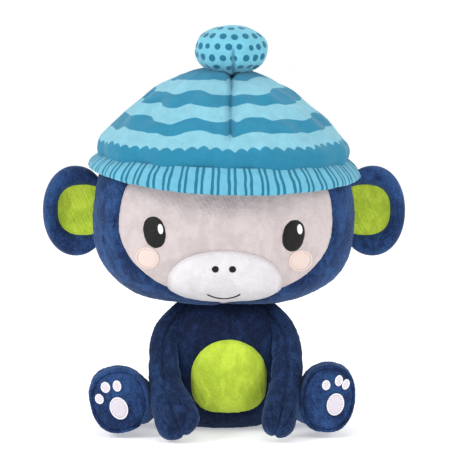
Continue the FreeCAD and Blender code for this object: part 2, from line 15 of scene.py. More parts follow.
import bpy
import numpy as np
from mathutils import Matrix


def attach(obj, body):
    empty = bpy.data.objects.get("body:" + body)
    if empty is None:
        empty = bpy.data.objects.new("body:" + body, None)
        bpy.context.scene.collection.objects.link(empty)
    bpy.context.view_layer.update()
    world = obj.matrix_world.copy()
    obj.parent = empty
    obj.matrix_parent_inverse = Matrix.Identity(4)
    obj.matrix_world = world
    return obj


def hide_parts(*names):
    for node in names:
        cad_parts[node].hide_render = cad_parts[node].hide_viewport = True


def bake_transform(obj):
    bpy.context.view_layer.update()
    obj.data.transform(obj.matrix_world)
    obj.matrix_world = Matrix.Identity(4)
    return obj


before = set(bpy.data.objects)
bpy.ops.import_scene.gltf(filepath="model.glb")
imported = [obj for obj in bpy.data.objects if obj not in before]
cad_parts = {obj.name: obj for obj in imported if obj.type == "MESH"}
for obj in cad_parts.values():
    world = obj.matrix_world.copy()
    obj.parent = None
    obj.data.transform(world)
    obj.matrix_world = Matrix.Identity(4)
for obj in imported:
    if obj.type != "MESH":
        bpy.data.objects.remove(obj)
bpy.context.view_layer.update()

MM = 0.001
LOG = logging.getLogger("soft_monkey")
SEED = 11
HALVINGS = 40  # steps of a search by halving: far finer than a micrometre
Socket = bpy.types.NodeSocket
Height = Callable[[np.ndarray, np.ndarray], np.ndarray]  # a length at each X and Z


class Side(Enum):
    """The toy's own sides, with the sign of X on each."""

    LEFT = 1
    RIGHT = -1

    @property
    def word(self) -> str:
        """Name that the frame's nodes use for this side."""
        return self.name.lower()


class Print(Enum):
    """Printed patterns of the hat's jersey."""

    WAVES = "wavy stripes"
    LINES = "upright pairs of lines"
    DOTS = "scattered dots"


# ---------------------------------------------------------------- arithmetic on surfaces


def smooth(value: np.ndarray, low: float, high: float) -> np.ndarray:
    """Eased step from 0 at low to 1 at high.

    Args:
        value: where to take the step.
        low: value at which it starts.
        high: value at which it ends.

    Returns:
        3t^2 - 2t^3 of the clipped share t.
    """
    share = np.clip((value - low) / (high - low), 0.0, 1.0)
    return share * share * (3.0 - 2.0 * share)


def ripple(points: np.ndarray, length: float, seed: int, waves: int = 10) -> np.ndarray:
    """Soft irregular relief: a sum of sines in seeded directions.

    Args:
        points: places, in metres, with the coordinate last.
        length: mean wavelength in metres.
        seed: chooses the directions and phases.
        waves: how many sines are added.

    Returns:
        Relief of about -1 to 1 at each place.
    """
    draw = np.random.default_rng(SEED + seed)
    ways = draw.normal(size=(waves, 3))
    ways /= np.linalg.norm(ways, axis=1)[:, None]
    rates = 2 * math.pi / (length * draw.uniform(0.7, 1.4, waves))
    phases = draw.uniform(0, 2 * math.pi, waves)
    turns = points @ (ways * rates[:, None]).T + phases
    return np.sin(turns).sum(axis=-1) / math.sqrt(waves)


def groove(distance: np.ndarray, depth: float, width: float) -> np.ndarray:
    """Sunken line: minus the depth times exp(-(distance/width)^2)."""
    return -depth * np.exp(-((distance / width) ** 2))


def normals_of(points: np.ndarray, inside: np.ndarray) -> np.ndarray:
    """Unit normals of a grid, from the cross product of its two differences.

    Args:
        points: grid of places, rows by columns by 3.
        inside: a point on the inner side of the surface.

    Returns:
        Normals that point away from the inside, in the shape of the points.
    """
    down = np.gradient(points, axis=0)
    if np.allclose(points[:, 0], points[:, -1], atol=1e-7):
        ring = points[:, :-1]
        across = (np.roll(ring, -1, axis=1) - np.roll(ring, 1, axis=1)) / 2
        across = np.concatenate([across, across[:, :1]], axis=1)
    else:
        across = np.gradient(points, axis=1)
    normal = np.cross(down, across)
    length = np.linalg.norm(normal, axis=-1, keepdims=True)
    outward = points - inside
    flat = length[..., 0] < 1e-12
    normal = np.where(flat[..., None], outward, normal / np.maximum(length, 1e-12))
    normal /= np.maximum(np.linalg.norm(normal, axis=-1, keepdims=True), 1e-12)
    if (normal * outward).sum() < 0:
        normal = np.where(flat[..., None], normal, -normal)
    return normal


def arc_lengths(points: np.ndarray, axis: int) -> np.ndarray:
    """Distance walked along one direction of a grid.

    Args:
        points: grid of places.
        axis: 0 to walk down the rows, 1 along the columns.

    Returns:
        Running length at each grid place, from 0.
    """
    steps = np.linalg.norm(np.diff(points, axis=axis), axis=-1)
    start = np.zeros_like(np.take(steps, [0], axis=axis))
    return np.concatenate([start, np.cumsum(steps, axis=axis)], axis=axis)


def cloth_lengths(points: np.ndarray) -> np.ndarray:
    """Lengths along and across the cloth at each place of a grid, for a UV map."""
    return np.stack([arc_lengths(points, 1), arc_lengths(points, 0)], axis=-1)


def mesh_from_grid(
    name: str,
    points: np.ndarray,
    inside: np.ndarray,
    cloth: np.ndarray | None = None,
    marks: dict[str, np.ndarray] | None = None,
) -> bpy.types.Object:
    """Mesh of a grid of places; rows that shrink to a point and closed rows are welded.

    Args:
        name: name of the piece.
        points: grid of places, rows by columns by 3; a closed row repeats its first place.
        inside: a point on the inner side, or one for each place, which the faces turn away from.
        cloth: lengths along and across the cloth, for the piece's UV map.
        marks: per-point numbers to keep as attributes.

    Returns:
        The new object, at the origin.
    """
    rows, columns = points.shape[:2]
    index = np.arange(rows * columns).reshape(rows, columns)
    if np.allclose(points[:, 0], points[:, -1], atol=1e-7):
        index[:, -1] = index[:, 0]
    for row in (0, rows - 1):
        if np.allclose(points[row], points[row, :1], atol=1e-7):
            index[row] = index[row, 0]
    if np.allclose(points[0], points[-1], atol=1e-7):
        index[-1] = index[0]
    plain = np.arange(rows * columns).reshape(rows, columns)
    quads, cells = (
        np.stack([each[:-1, :-1], each[1:, :-1], each[1:, 1:], each[:-1, 1:]], axis=-1).reshape(-1, 4)
        for each in (index, plain)
    )
    flat = points.reshape(-1, 3)
    corners = flat[quads]
    face_normals = np.cross(corners[:, 2] - corners[:, 0], corners[:, 3] - corners[:, 1])
    inner = np.broadcast_to(inside, points.shape).reshape(-1, 3)[cells].mean(axis=1)
    if (face_normals * (corners.mean(axis=1) - inner)).sum() < 0:
        quads = quads[:, ::-1]
        cells = cells[:, ::-1]
    used, place = np.unique(quads, return_inverse=True)
    place = place.reshape(quads.shape)
    same = place == np.roll(place, -1, axis=1)
    whole = ~same.any(axis=1)
    faces = place[whole].tolist()
    loops = [cells[whole].ravel()]
    for corner in range(4):
        slim = same[:, corner] & (same.sum(axis=1) == 1)
        keep = [k for k in range(4) if k != corner]
        faces += place[slim][:, keep].tolist()
        loops.append(cells[slim][:, keep].ravel())
    mesh = bpy.data.meshes.new(name)
    mesh.from_pydata(flat[used].tolist(), [], faces)
    mesh.polygons.foreach_set("use_smooth", np.ones(len(faces), bool))
    if cloth is not None:
        layer = mesh.uv_layers.new(name="cloth")
        layer.data.foreach_set("uv", cloth.reshape(-1, 2)[np.concatenate(loops)].astype(np.float32).ravel())
    for mark, values in (marks or {}).items():
        attribute = mesh.attributes.new(mark, "FLOAT", "POINT")
        attribute.data.foreach_set("value", values.reshape(-1)[used].astype(np.float32))
    mesh.update()
    piece = bpy.data.objects.new(name, mesh)
    bpy.context.scene.collection.objects.link(piece)
    return piece


def thicken(piece: bpy.types.Object, thickness: float) -> bpy.types.Object:
    """Give an open cover the thickness of its fabric, inwards.

    Args:
        piece: the cover.
        thickness: fabric thickness.

    Returns:
        The same piece with a Solidify modifier.
    """
    wall = piece.modifiers.new("fabric", "SOLIDIFY")
    wall.thickness = thickness
    wall.offset = -1.0
    return piece


# ---------------------------------------------------------------- finishes


def linear(colour: str) -> tuple[float, float, float, float]:
    """Linear colour of an sRGB hex value.

    Args:
        colour: hex value such as "#2c4a7c".

    Returns:
        Red, green, blue and full alpha.
    """
    parts = [int(colour[at : at + 2], 16) / 255 for at in (1, 3, 5)]
    curved = [part / 12.92 if part <= 0.04045 else ((part + 0.055) / 1.055) ** 2.4 for part in parts]
    return (*curved, 1.0)


def per_metre(length_mm: float) -> float:
    """Texture scale of a pattern whose real size is given in millimetres."""
    return 1.0 / (length_mm * MM)


def add_node(
    tree: bpy.types.NodeTree, kind: str, settings: dict | None = None, links: dict | None = None
) -> bpy.types.Node:
    """Add one node with its settings and its incoming links.

    Args:
        tree: node tree to add to.
        kind: Blender's name of the node.
        settings: values; a capitalised name or a number is an input, the rest are properties.
        links: sockets to link, by the input's name or number.

    Returns:
        The new node.
    """
    node = tree.nodes.new(kind)
    for key, value in (settings or {}).items():
        if isinstance(key, int) or key[0].isupper():
            node.inputs[key].default_value = value
        else:
            setattr(node, key, value)
    for key, socket in (links or {}).items():
        tree.links.new(socket, node.inputs[key])
    return node


def arithmetic(
    tree: bpy.types.NodeTree, operation: str, *values: float | Socket, clamp: bool = False
) -> Socket:
    """Add a math node.

    Args:
        tree: node tree to add to.
        operation: Blender's name of the operation.
        values: numbers or sockets, in the node's own order.
        clamp: whether the result is kept between 0 and 1.

    Returns:
        Socket of the result.
    """
    settings = {at: value for at, value in enumerate(values) if isinstance(value, float)}
    links = {at: value for at, value in enumerate(values) if at not in settings}
    settings |= {"operation": operation, "use_clamp": clamp}
    return add_node(tree, "ShaderNodeMath", settings, links).outputs[0]


def remap(
    tree: bpy.types.NodeTree,
    value: Socket,
    span: tuple[float, float],
    to: tuple[float, float],
    kind: str = "LINEAR",
) -> Socket:
    """Add a node that maps one span of a socket's values to another.

    Args:
        tree: node tree to add to.
        value: socket to map.
        span: values that it runs between.
        to: values that they become.
        kind: Blender's name of the interpolation.

    Returns:
        Socket of the result.
    """
    settings = {1: span[0], 2: span[1], 3: to[0], 4: to[1], "interpolation_type": kind}
    return add_node(tree, "ShaderNodeMapRange", settings, {0: value}).outputs[0]


def noise(
    tree: bpy.types.NodeTree,
    place: Socket,
    length_mm: float,
    detail: float,
    rough: float = 0.5,
    bent: float = 0.0,
) -> Socket:
    """Add a noise texture.

    Args:
        tree: node tree to add to.
        place: socket of coordinates.
        length_mm: real size of its patches.
        detail: how many finer layers it has.
        rough: how strong they are.
        bent: how far it is distorted.

    Returns:
        Socket of about 0 to 1.
    """
    settings = {"Scale": per_metre(length_mm), "Detail": detail, "Roughness": rough, "Distortion": bent}
    return add_node(tree, "ShaderNodeTexNoise", settings, {"Vector": place}).outputs["Fac"]


def bands(
    tree: bpy.types.NodeTree, place: Socket, axis: str, length_mm: float, bent: float, fine: float
) -> Socket:
    """Add parallel ridges.

    Args:
        tree: node tree to add to.
        place: socket of coordinates.
        axis: coordinate along which they follow each other.
        length_mm: real distance from one to the next.
        bent: how far they are distorted.
        fine: scale of that distortion.

    Returns:
        Socket of 0 to 1.
    """
    settings = {
        "wave_type": "BANDS", "bands_direction": axis, "Scale": per_metre(length_mm) / 20 * math.pi,
        "Distortion": bent, "Detail": 2.0, "Detail Scale": fine,
    }
    return add_node(tree, "ShaderNodeTexWave", settings, {"Vector": place}).outputs["Fac"]


def between(tree: bpy.types.NodeTree, share: Socket, first: str, second: str) -> Socket:
    """Colour between two hex values by a share from 0 to 1; returns its socket."""
    settings = {"data_type": "RGBA", 6: linear(first), 7: linear(second)}
    return add_node(tree, "ShaderNodeMix", settings, {0: share}).outputs[2]


def bump(
    tree: bpy.types.NodeTree, height: Socket, strength: float, rise: float, over: Socket | None = None
) -> Socket:
    """Add a bumped normal.

    Args:
        tree: node tree to add to.
        height: socket of the relief.
        strength: how much of it is used.
        rise: its height in metres.
        over: socket of a normal that it is added to, or None.

    Returns:
        Socket of the normal.
    """
    links = {"Height": height} | ({"Normal": over} if over else {})
    return add_node(tree, "ShaderNodeBump", {"Strength": strength, "Distance": rise}, links).outputs[0]


def new_tree(name: str) -> tuple[bpy.types.Material, bpy.types.NodeTree]:
    """Empty node tree of a new material.

    Args:
        name: the material's name.

    Returns:
        The material and its cleared tree.
    """
    material = bpy.data.materials.new(name)
    material.use_nodes = True
    material.node_tree.nodes.clear()
    return material, material.node_tree


def finish_surface(tree: bpy.types.NodeTree, settings: dict, colour: Socket, normal: Socket) -> None:
    """Close a tree with its shader and output.

    Args:
        tree: node tree to close.
        settings: constant values on the shader's own sockets.
        colour: socket that gives the base colour.
        normal: socket that gives the bumped normal.
    """
    links = {"Base Color": colour, "Normal": normal}
    shader = add_node(tree, "ShaderNodeBsdfPrincipled", settings, links)
    add_node(tree, "ShaderNodeOutputMaterial", {}, {"Surface": shader.outputs[0]})


@dataclass(frozen=True)
class ShortPlush:
    """Warp-knitted short plush, cut and brushed: soft dark and light patches where the
    pile leans different ways, a pale rim of sheen, and no gloss."""

    name: str
    lit: str
    shade: str
    sheen: str
    nap_mm: float = 26.0
    contrast: float = 0.8
    clump_mm: float = 3.4
    fibre_mm: float = 0.8  # real fibres are finer; drawn this coarse so that they show

    def build(self) -> bpy.types.Material:
        """Make the material."""
        material, tree = new_tree(self.name)
        place = add_node(tree, "ShaderNodeTexCoord").outputs["Object"]
        combed = add_node(tree, "ShaderNodeMapping", {"Scale": (1.0, 1.0, 0.65)}, {"Vector": place}).outputs[0]
        nap = noise(tree, combed, self.nap_mm, 4.0, 0.6, 0.7)
        lean = remap(tree, nap, (0.36, 0.64), (0.0, self.contrast), "SMOOTHSTEP")
        clumps = noise(tree, combed, self.clump_mm, 3.0, 0.6)
        fibres = noise(tree, combed, self.fibre_mm, 2.0)
        tufts = remap(tree, clumps, (0.3, 0.7), (-0.2, 0.24))
        strands = remap(tree, fibres, (0.32, 0.68), (-0.24, 0.26))
        share = arithmetic(tree, "ADD", lean, arithmetic(tree, "ADD", tufts, strands), clamp=True)
        colour = between(tree, share, self.shade, self.lit)
        normal = bump(tree, fibres, 0.7, 0.5 * MM, bump(tree, clumps, 0.35, 0.9 * MM))
        settings = {
            "Roughness": 0.9, "Specular IOR Level": 0.15, "Sheen Weight": 0.55, "Sheen Roughness": 0.42,
            "Sheen Tint": linear(self.sheen),
        }
        finish_surface(tree, settings, colour, normal)
        return material


@dataclass(frozen=True)
class BrushedJersey:
    """Printed polyester jersey, brushed soft: matt, with a faint rib of knit columns and
    slightly uneven ink."""

    name: str
    pattern: Print
    ink: str
    ground: str
    low_z: float = 0.0
    rib_mm: float = 1.3  # real wales are near 0.9; drawn a little coarser so that they show

    def build(self) -> bpy.types.Material:
        """Make the material."""
        material, tree = new_tree(self.name)
        place = add_node(tree, "ShaderNodeTexCoord").outputs["Object"]
        cloth = add_node(tree, "ShaderNodeUVMap", {"uv_map": "cloth"}).outputs[0]
        prints = {Print.WAVES: self.waves, Print.LINES: self.lines, Print.DOTS: self.dots}
        ink = prints[self.pattern](tree, place, cloth)
        worn = remap(tree, noise(tree, place, 7.0, 4.0, 0.65), (0.3, 0.7), (0.9, 1.08))
        printed = {0: between(tree, ink, self.ground, self.ink), "Scale": worn}
        colour = add_node(tree, "ShaderNodeVectorMath", {"operation": "SCALE"}, printed).outputs[0]
        knit = bump(tree, bands(tree, cloth, "X", self.rib_mm, 1.2, 3.0), 0.22, 0.3 * MM)
        normal = bump(tree, noise(tree, place, 0.7, 2.0), 0.3, 0.3 * MM, knit)
        settings = {
            "Roughness": 0.86, "Specular IOR Level": 0.2, "Sheen Weight": 0.25, "Sheen Roughness": 0.5,
            "Sheen Tint": linear("#e8f6fb"),
        }
        finish_surface(tree, settings, colour, normal)
        return material

    def step(self, tree: bpy.types.NodeTree, value: Socket, low: float, high: float) -> Socket:
        """Soft edge of the ink between two values of a socket; returns its socket."""
        return remap(tree, value, (low, high), (0.0, 1.0), "SMOOTHSTEP")

    def waves(self, tree: bpy.types.NodeTree, place: Socket, cloth: Socket) -> Socket:
        """Stripes by height with wandering edges, over a dark band with a scalloped top.

        Args:
            tree: node tree to add to.
            place: socket of the object's coordinates.
            cloth: socket of the cloth's own coordinates.

        Returns:
            Socket that is 1 where the dark ink lies.
        """
        height = add_node(tree, "ShaderNodeSeparateXYZ", {}, {0: place}).outputs["Z"]
        flat = add_node(tree, "ShaderNodeMapping", {"Scale": (1.0, 1.0, 0.35)}, {"Vector": place}).outputs[0]
        wander = remap(tree, noise(tree, flat, 24.0, 1.5, 0.45), (0.25, 0.75), (-3.4 * MM, 3.4 * MM))
        moved = arithmetic(tree, "ADD", height, wander)
        turns = arithmetic(tree, "SUBTRACT", moved, self.low_z + 22.3 * MM)
        part = arithmetic(tree, "FRACT", arithmetic(tree, "MULTIPLY", turns, per_metre(17.0)))
        away = arithmetic(tree, "ABSOLUTE", arithmetic(tree, "SUBTRACT", part, 0.26))
        striped = self.step(tree, away, 0.265, 0.24)
        started = self.step(tree, turns, -2.2 * MM, -1.8 * MM)
        stripe = arithmetic(tree, "MULTIPLY", striped, started)
        along = add_node(tree, "ShaderNodeSeparateXYZ", {}, {0: cloth}).outputs["X"]
        angle = arithmetic(tree, "MULTIPLY", along, math.pi * per_metre(8.8))
        bulge = arithmetic(tree, "ABSOLUTE", arithmetic(tree, "SINE", angle))
        lobe = arithmetic(tree, "MULTIPLY_ADD", bulge, -2.1 * MM, -self.low_z - 11.6 * MM)
        slow = arithmetic(tree, "MULTIPLY_ADD", wander, 0.5, height)
        band = self.step(tree, arithmetic(tree, "ADD", slow, lobe), 0.25 * MM, -0.25 * MM)
        return arithmetic(tree, "MAXIMUM", stripe, band)

    def lines(self, tree: bpy.types.NodeTree, place: Socket, cloth: Socket) -> Socket:
        """Pairs of thin upright lines, by the length round the band.

        Args:
            tree: node tree to add to.
            place: socket of the object's coordinates.
            cloth: socket of the cloth's own coordinates.

        Returns:
            Socket that is 1 where the dark ink lies.
        """
        along = add_node(tree, "ShaderNodeSeparateXYZ", {}, {0: cloth}).outputs["X"]
        moved = arithmetic(tree, "MULTIPLY_ADD", noise(tree, place, 11.0, 1.0), 2.2 * MM, along)
        part = arithmetic(tree, "FRACT", arithmetic(tree, "MULTIPLY", moved, per_metre(10.9)))
        away = arithmetic(tree, "ABSOLUTE", arithmetic(tree, "SUBTRACT", part, 0.5))
        off = arithmetic(tree, "ABSOLUTE", arithmetic(tree, "SUBTRACT", away, 0.18))
        return self.step(tree, off, 0.105, 0.075)

    def dots(self, tree: bpy.types.NodeTree, place: Socket, cloth: Socket) -> Socket:
        """Round dots from the piece's own distance to its nearest dot.

        Args:
            tree: node tree to add to.
            place: socket of the object's coordinates, unused by this print.
            cloth: socket of the cloth's own coordinates, unused by this print.

        Returns:
            Socket that is 1 where the dark ink lies.
        """
        away = add_node(tree, "ShaderNodeAttribute", {"attribute_name": "dot"}).outputs["Fac"]
        return self.step(tree, away, 2.75 * MM, 2.35 * MM)


@dataclass(frozen=True)
class SatinStitch:
    """Rayon thread laid side by side by machine: fine parallel ridges with a soft gloss."""

    name: str
    thread: str
    # colour of the painted shade in the grooves between the threads
    hollow: str
    slant: float = 0.0
    pitch_mm: float = 0.7  # real threads lie near 0.4 apart; drawn coarser so that they show

    def build(self) -> bpy.types.Material:
        """Make the material."""
        material, tree = new_tree(self.name)
        place = add_node(tree, "ShaderNodeTexCoord").outputs["Object"]
        turn = {"Rotation": (0.0, self.slant, 0.0)}
        turned = add_node(tree, "ShaderNodeMapping", turn, {"Vector": place}).outputs[0]
        ridges = bands(tree, turned, "Z", self.pitch_mm, 0.8, 2.0)
        # ridges in the thread's own colour, with painted shade in the grooves between them
        colour = between(tree, ridges, self.hollow, self.thread)
        normal = bump(tree, ridges, 0.5, 0.25 * MM)
        settings = {"Roughness": 0.5, "Specular IOR Level": 0.25, "Sheen Weight": 0.02, "Sheen Roughness": 0.4}
        finish_surface(tree, settings, colour, normal)
        return material


@dataclass(frozen=True)
class Finishes:
    """Every material of the toy, by the record's material slots."""

    built: dict[str, bpy.types.Material]

    @classmethod
    def make(cls) -> "Finishes":
        """Build all the materials once."""
        kinds = {
            "navy_plush": ShortPlush("short_plush_navy", "#33588f", "#16264a", "#7f9cc8", 20.0, 0.45),
            # darker copy of the navy plush: painted shade on the torso's back and the arms
            "navy_shade_painted": ShortPlush(
                "short_plush_navy_stroked_down", "#2c4a7a", "#101c38", "#6f8cb8", 18.0, 0.38
            ),
            # darker copy of the navy plush: painted deep shade on the torso's front and the neck, under the
            # head
            "navy_shaded": ShortPlush(
                "short_plush_navy_laid_flat", "#213a66", "#0d1730", "#4f688f", 24.0, 0.3
            ),
            "lime_plush": ShortPlush("short_plush_lime", "#bed546", "#a2bb37", "#e2ee9c", nap_mm=12.0),
            "grey_plush": ShortPlush("short_plush_pale_grey", "#c7bbbb", "#b9adad", "#eee8e8", nap_mm=12.0),
            "white_plush": ShortPlush("short_plush_white", "#d9d6d9", "#cecace", "#f8f6f8", nap_mm=16.0),
            "hat_jersey": BrushedJersey("jersey_wavy_stripes", Print.WAVES, "#227a99", "#7bb4c5", 0.189),
            "brim_jersey": BrushedJersey("jersey_upright_lines", Print.LINES, "#1a6d89", "#62aac2"),
            "pompom_jersey": BrushedJersey("jersey_dots", Print.DOTS, "#1b6785", "#6bb4c8"),
            "black_thread": SatinStitch("satin_stitch_black", "#0c0b0c", "#050505", slant=0.35),
            "white_thread": SatinStitch("satin_stitch_white", "#f6f4f6", "#d9d5da"),
            "pink_thread": SatinStitch("satin_stitch_pale_pink", "#e0cfc8", "#d3bdb4", slant=-0.5),
            "pad_thread": SatinStitch("satin_stitch_pad", "#ddd6df", "#c9c2cd", slant=0.6),
            "navy_thread": SatinStitch("polyester_thread_navy", "#2a4377", "#16244a"),
        }
        return cls({slot: kind.build() for slot, kind in kinds.items()})

    def dress(
        self,
        piece: bpy.types.Object,
        slot: str,
        body: str | tuple,
        stands_for: tuple[str, ...] = (),
        fill: float | None = None,
        fabric: float = 0.0,
        finish: str = "",
    ) -> bpy.types.Object:
        """Give a piece its finish and its place in the frame.

        Args:
            piece: finished mesh at the origin.
            slot: the record's material slot.
            body: body that carries it; given a tuple of two bodies with a start and end instead, the piece
                stays unattached where it was made.
            stands_for: frame nodes that it replaces.
            fill: how full its stuffing is, or None where it isn't padded; not used.
            fabric: thickness of its cloth, or 0 for a closed shape.
            finish: name of the finish where it differs from the slot.

        Returns:
            The same piece.
        """
        piece.data.materials.append(self.built[finish or slot])
        if fabric:
            thicken(piece, fabric)
        if isinstance(body, str):
            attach(piece, body)
        else:
            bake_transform(piece)
        if stands_for:
            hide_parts(*stands_for)
        LOG.info("%s: %d faces, %s", piece.name, len(piece.data.polygons), slot)
        return piece


# ---------------------------------------------------------------- shapes that sewn covers take


@dataclass(frozen=True)
class StuffedForm:
    """Rounded body, by its half sizes on each side of a centre and how square it is."""

    centre: np.ndarray
    side: float
    deep: float
    above: float
    below: float
    plan: float = 2.3
    upper: float = 2.1
    lower: float = 3.2
    floor: float = -1.0

    def level(self, places: np.ndarray) -> np.ndarray:
        """Share of the way out to the surface.

        Args:
            places: points in metres.

        Returns:
            The nth root of (|x/side|^p + |y/deep|^p)^(n/p) + |z/high|^n, where p is the
            plan's power and n and high are the upper or the lower ones.
        """
        offset = places - self.centre
        up = offset[..., 2] >= 0
        across, along, height = np.moveaxis(np.abs(offset), -1, 0)
        high = np.where(up, self.above, self.below)
        power = np.where(up, self.upper, self.lower)
        plan = (across / self.side) ** self.plan + (along / self.deep) ** self.plan
        return (plan ** (power / self.plan) + (height / high) ** power) ** (1 / power)

    def skin(self, lean: np.ndarray, turn: np.ndarray) -> np.ndarray:
        """Places on the surface by lean away from the front and turn about it.

        Args:
            lean: angle from straight ahead, 0 at the nose and pi at the back.
            turn: angle about the front-to-back axis, from +X towards +Z.

        Returns:
            The centre plus the direction (sin lean cos turn, -cos lean, sin lean sin turn)
            divided by its level.
        """
        ways = np.stack([np.sin(lean) * np.cos(turn), -np.cos(lean), np.sin(lean) * np.sin(turn)], axis=-1)
        return self.centre + ways / self.level(self.centre + ways)[..., None]

    def outward(self, places: np.ndarray) -> np.ndarray:
        """Unit normals: the level's gradient, from differences a tenth of a millimetre apart.

        Args:
            places: points in metres.

        Returns:
            The direction outwards at each of them.
        """
        step = 0.1 * MM
        shifts = np.eye(3) * step
        slopes = [self.level(places + shift) - self.level(places - shift) for shift in shifts]
        slope = np.stack(slopes, axis=-1)
        return slope / np.maximum(np.linalg.norm(slope, axis=-1, keepdims=True), 1e-12)

    def front(self, x: np.ndarray, z: np.ndarray) -> np.ndarray:
        """Y of the front surface, from the same formula as the level.

        Args:
            x: X of each place.
            z: Z of each place.

        Returns:
            The Y at which the level is 1, in front of the centre.
        """
        height = z - self.centre[2]
        high = np.where(height >= 0, self.above, self.below)
        power = np.where(height >= 0, self.upper, self.lower)
        left = np.clip(1 - np.abs(height / high) ** power, 0, 1) ** (self.plan / power)
        left = np.clip(left - np.abs((x - self.centre[0]) / self.side) ** self.plan, 0, 1)
        return self.centre[1] - self.deep * left ** (1 / self.plan)

    def lean_to(self, outline: "Outline", turn: np.ndarray) -> np.ndarray:
        """Lean at which the surface meets an outline.

        Args:
            outline: outline in the X-Z plane.
            turn: angles to look along.

        Returns:
            The lean at each turn, from 0 to pi/2 by repeated halving.
        """
        low = np.zeros_like(turn)
        high = np.full_like(turn, math.pi / 2)
        for _ in range(HALVINGS):
            middle = (low + high) / 2
            places = self.skin(middle, turn)
            within = outline.share(places[..., 0], places[..., 2]) < 1
            low = np.where(within, middle, low)
            high = np.where(within, high, middle)
        return (low + high) / 2

    def panel(
        self, name: str, lean: np.ndarray, turn: np.ndarray, sewn: tuple[bool, bool, bool, bool], seam: "Seam"
    ) -> bpy.types.Object:
        """One cut panel of the cover, pulled in along its sewn edges.

        Args:
            name: name of the piece.
            lean: leans of the grid.
            turn: turns of the grid.
            sewn: whether the first row, last row, first column and last column are sewn.
            seam: shape of its seams.

        Returns:
            The open panel.
        """
        skin = self.skin(lean, turn)
        lift = seam.relief(edge_distance(skin, sewn)) + pile(skin)
        points = skin + self.outward(skin) * lift[..., None]
        points[..., 2] = np.maximum(points[..., 2], self.floor)
        return mesh_from_grid(name, points, self.centre, cloth_lengths(skin))


@dataclass(frozen=True)
class Outline:
    """Rounded outline in the X-Z plane, in metres."""

    x: float
    z: float
    half_x: float
    half_z: float
    tilt: float = 0.0
    square: float = 2.0
    square_low: float = 0.0

    def share(self, x: np.ndarray, z: np.ndarray) -> np.ndarray:
        """How far out a place lies.

        Args:
            x: X of each place.
            z: Z of each place.

        Returns:
            (|along|^n + |up|^n)^(1/n) in the outline's own frame: 1 on the outline.
        """
        cos, sin = math.cos(self.tilt), math.sin(self.tilt)
        along = ((x - self.x) * cos + (z - self.z) * sin) / self.half_x
        up = ((z - self.z) * cos - (x - self.x) * sin) / self.half_z
        power = np.where(up < 0, self.square_low or self.square, self.square)
        return (np.abs(along) ** power + np.abs(up) ** power) ** (1 / power)

    def places(self, share: np.ndarray, turn: np.ndarray) -> tuple[np.ndarray, np.ndarray]:
        """X and Z of the place at a share of the way out, at an angle in the outline.

        Args:
            share: 0 at the centre, 1 on the outline.
            turn: angle in the outline's own frame.

        Returns:
            The centre plus share times (half_x cos, half_z sin)/(|cos|^n + |sin|^n)^(1/n),
            turned by the tilt.
        """
        cos, sin = np.cos(turn), np.sin(turn)
        power = np.where(sin < 0, self.square_low or self.square, self.square)
        reach = share / (np.abs(cos) ** power + np.abs(sin) ** power) ** (1 / power)
        along, up = self.half_x * cos * reach, self.half_z * sin * reach
        turned = math.cos(self.tilt), math.sin(self.tilt)
        return self.x + along * turned[0] - up * turned[1], self.z + along * turned[1] + up * turned[0]


@dataclass(frozen=True)
class Seam:
    """A turned seam: how deep it pulls the cover in, and how full the cover stands beside it."""

    depth: float = 1.7 * MM
    width: float = 2.0 * MM
    puff: float = 1.5 * MM
    spread: float = 9.0 * MM

    def relief(self, distance: np.ndarray) -> np.ndarray:
        """puff (1 - exp(-d/spread)) - depth exp(-(d/width)^2)."""
        return self.puff * (1 - np.exp(-distance / self.spread)) + groove(distance, self.depth, self.width)


def lumps(places: np.ndarray) -> np.ndarray:
    """Relief of uneven stuffing: ripples 10 and 34 mm long."""
    return 0.15 * MM * ripple(places, 10 * MM, 2) + 0.45 * MM * ripple(places, 34 * MM, 3)


def pile(places: np.ndarray) -> np.ndarray:
    """Relief of the pile over uneven stuffing: the lumps plus ripples 2.6 mm long."""
    return 0.14 * MM * ripple(places, 2.6 * MM, 1) + lumps(places)


def edge_distance(points: np.ndarray, sewn: tuple[bool, bool, bool, bool]) -> np.ndarray:
    """Distance along the grid to the nearest sewn edge.

    Args:
        points: grid of places.
        sewn: whether the first row, last row, first column and last column are sewn.

    Returns:
        The smallest of the four lengths, 1 m where no edge is sewn.
    """
    down, across = arc_lengths(points, 0), arc_lengths(points, 1)
    found = [down, down[-1:] - down, across, across[:, -1:] - across]
    used = [length for length, is_sewn in zip(found, sewn) if is_sewn]
    return np.min([*used, np.ones(points.shape[:2])], axis=0)


def grid(rows: int, columns: int, turn_from: float = 0.0, turn_to: float = 2 * math.pi) -> list[np.ndarray]:
    """Share down the rows, from 0 to 1, and turn along the columns, as two grids."""
    return np.meshgrid(np.linspace(0, 1, rows), np.linspace(turn_from, turn_to, columns), indexing="ij")


def ridges(height: float, slope: float, pitch: float) -> Height:
    """Relief of parallel threads.

    Args:
        height: half the height of a thread.
        slope: X counted for each Z.
        pitch: distance from one thread to the next.

    Returns:
        Function that gives height sin(2 pi (z + slope x) / pitch).
    """
    return lambda x, z: height * np.sin((z + slope * x) * 2 * math.pi / pitch)


def proud(carrier: Height, lift: float) -> Height:
    """Carrier that stands a little in front of another; returns its function."""
    return lambda x, z: carrier(x, z) - lift


def dents(x: np.ndarray, z: np.ndarray) -> np.ndarray:
    """Fine relief of soft pile on the muzzle: ripples 3 mm long."""
    return 0.12 * MM * ripple(np.stack([x, z, z], axis=-1), 3 * MM, 5)


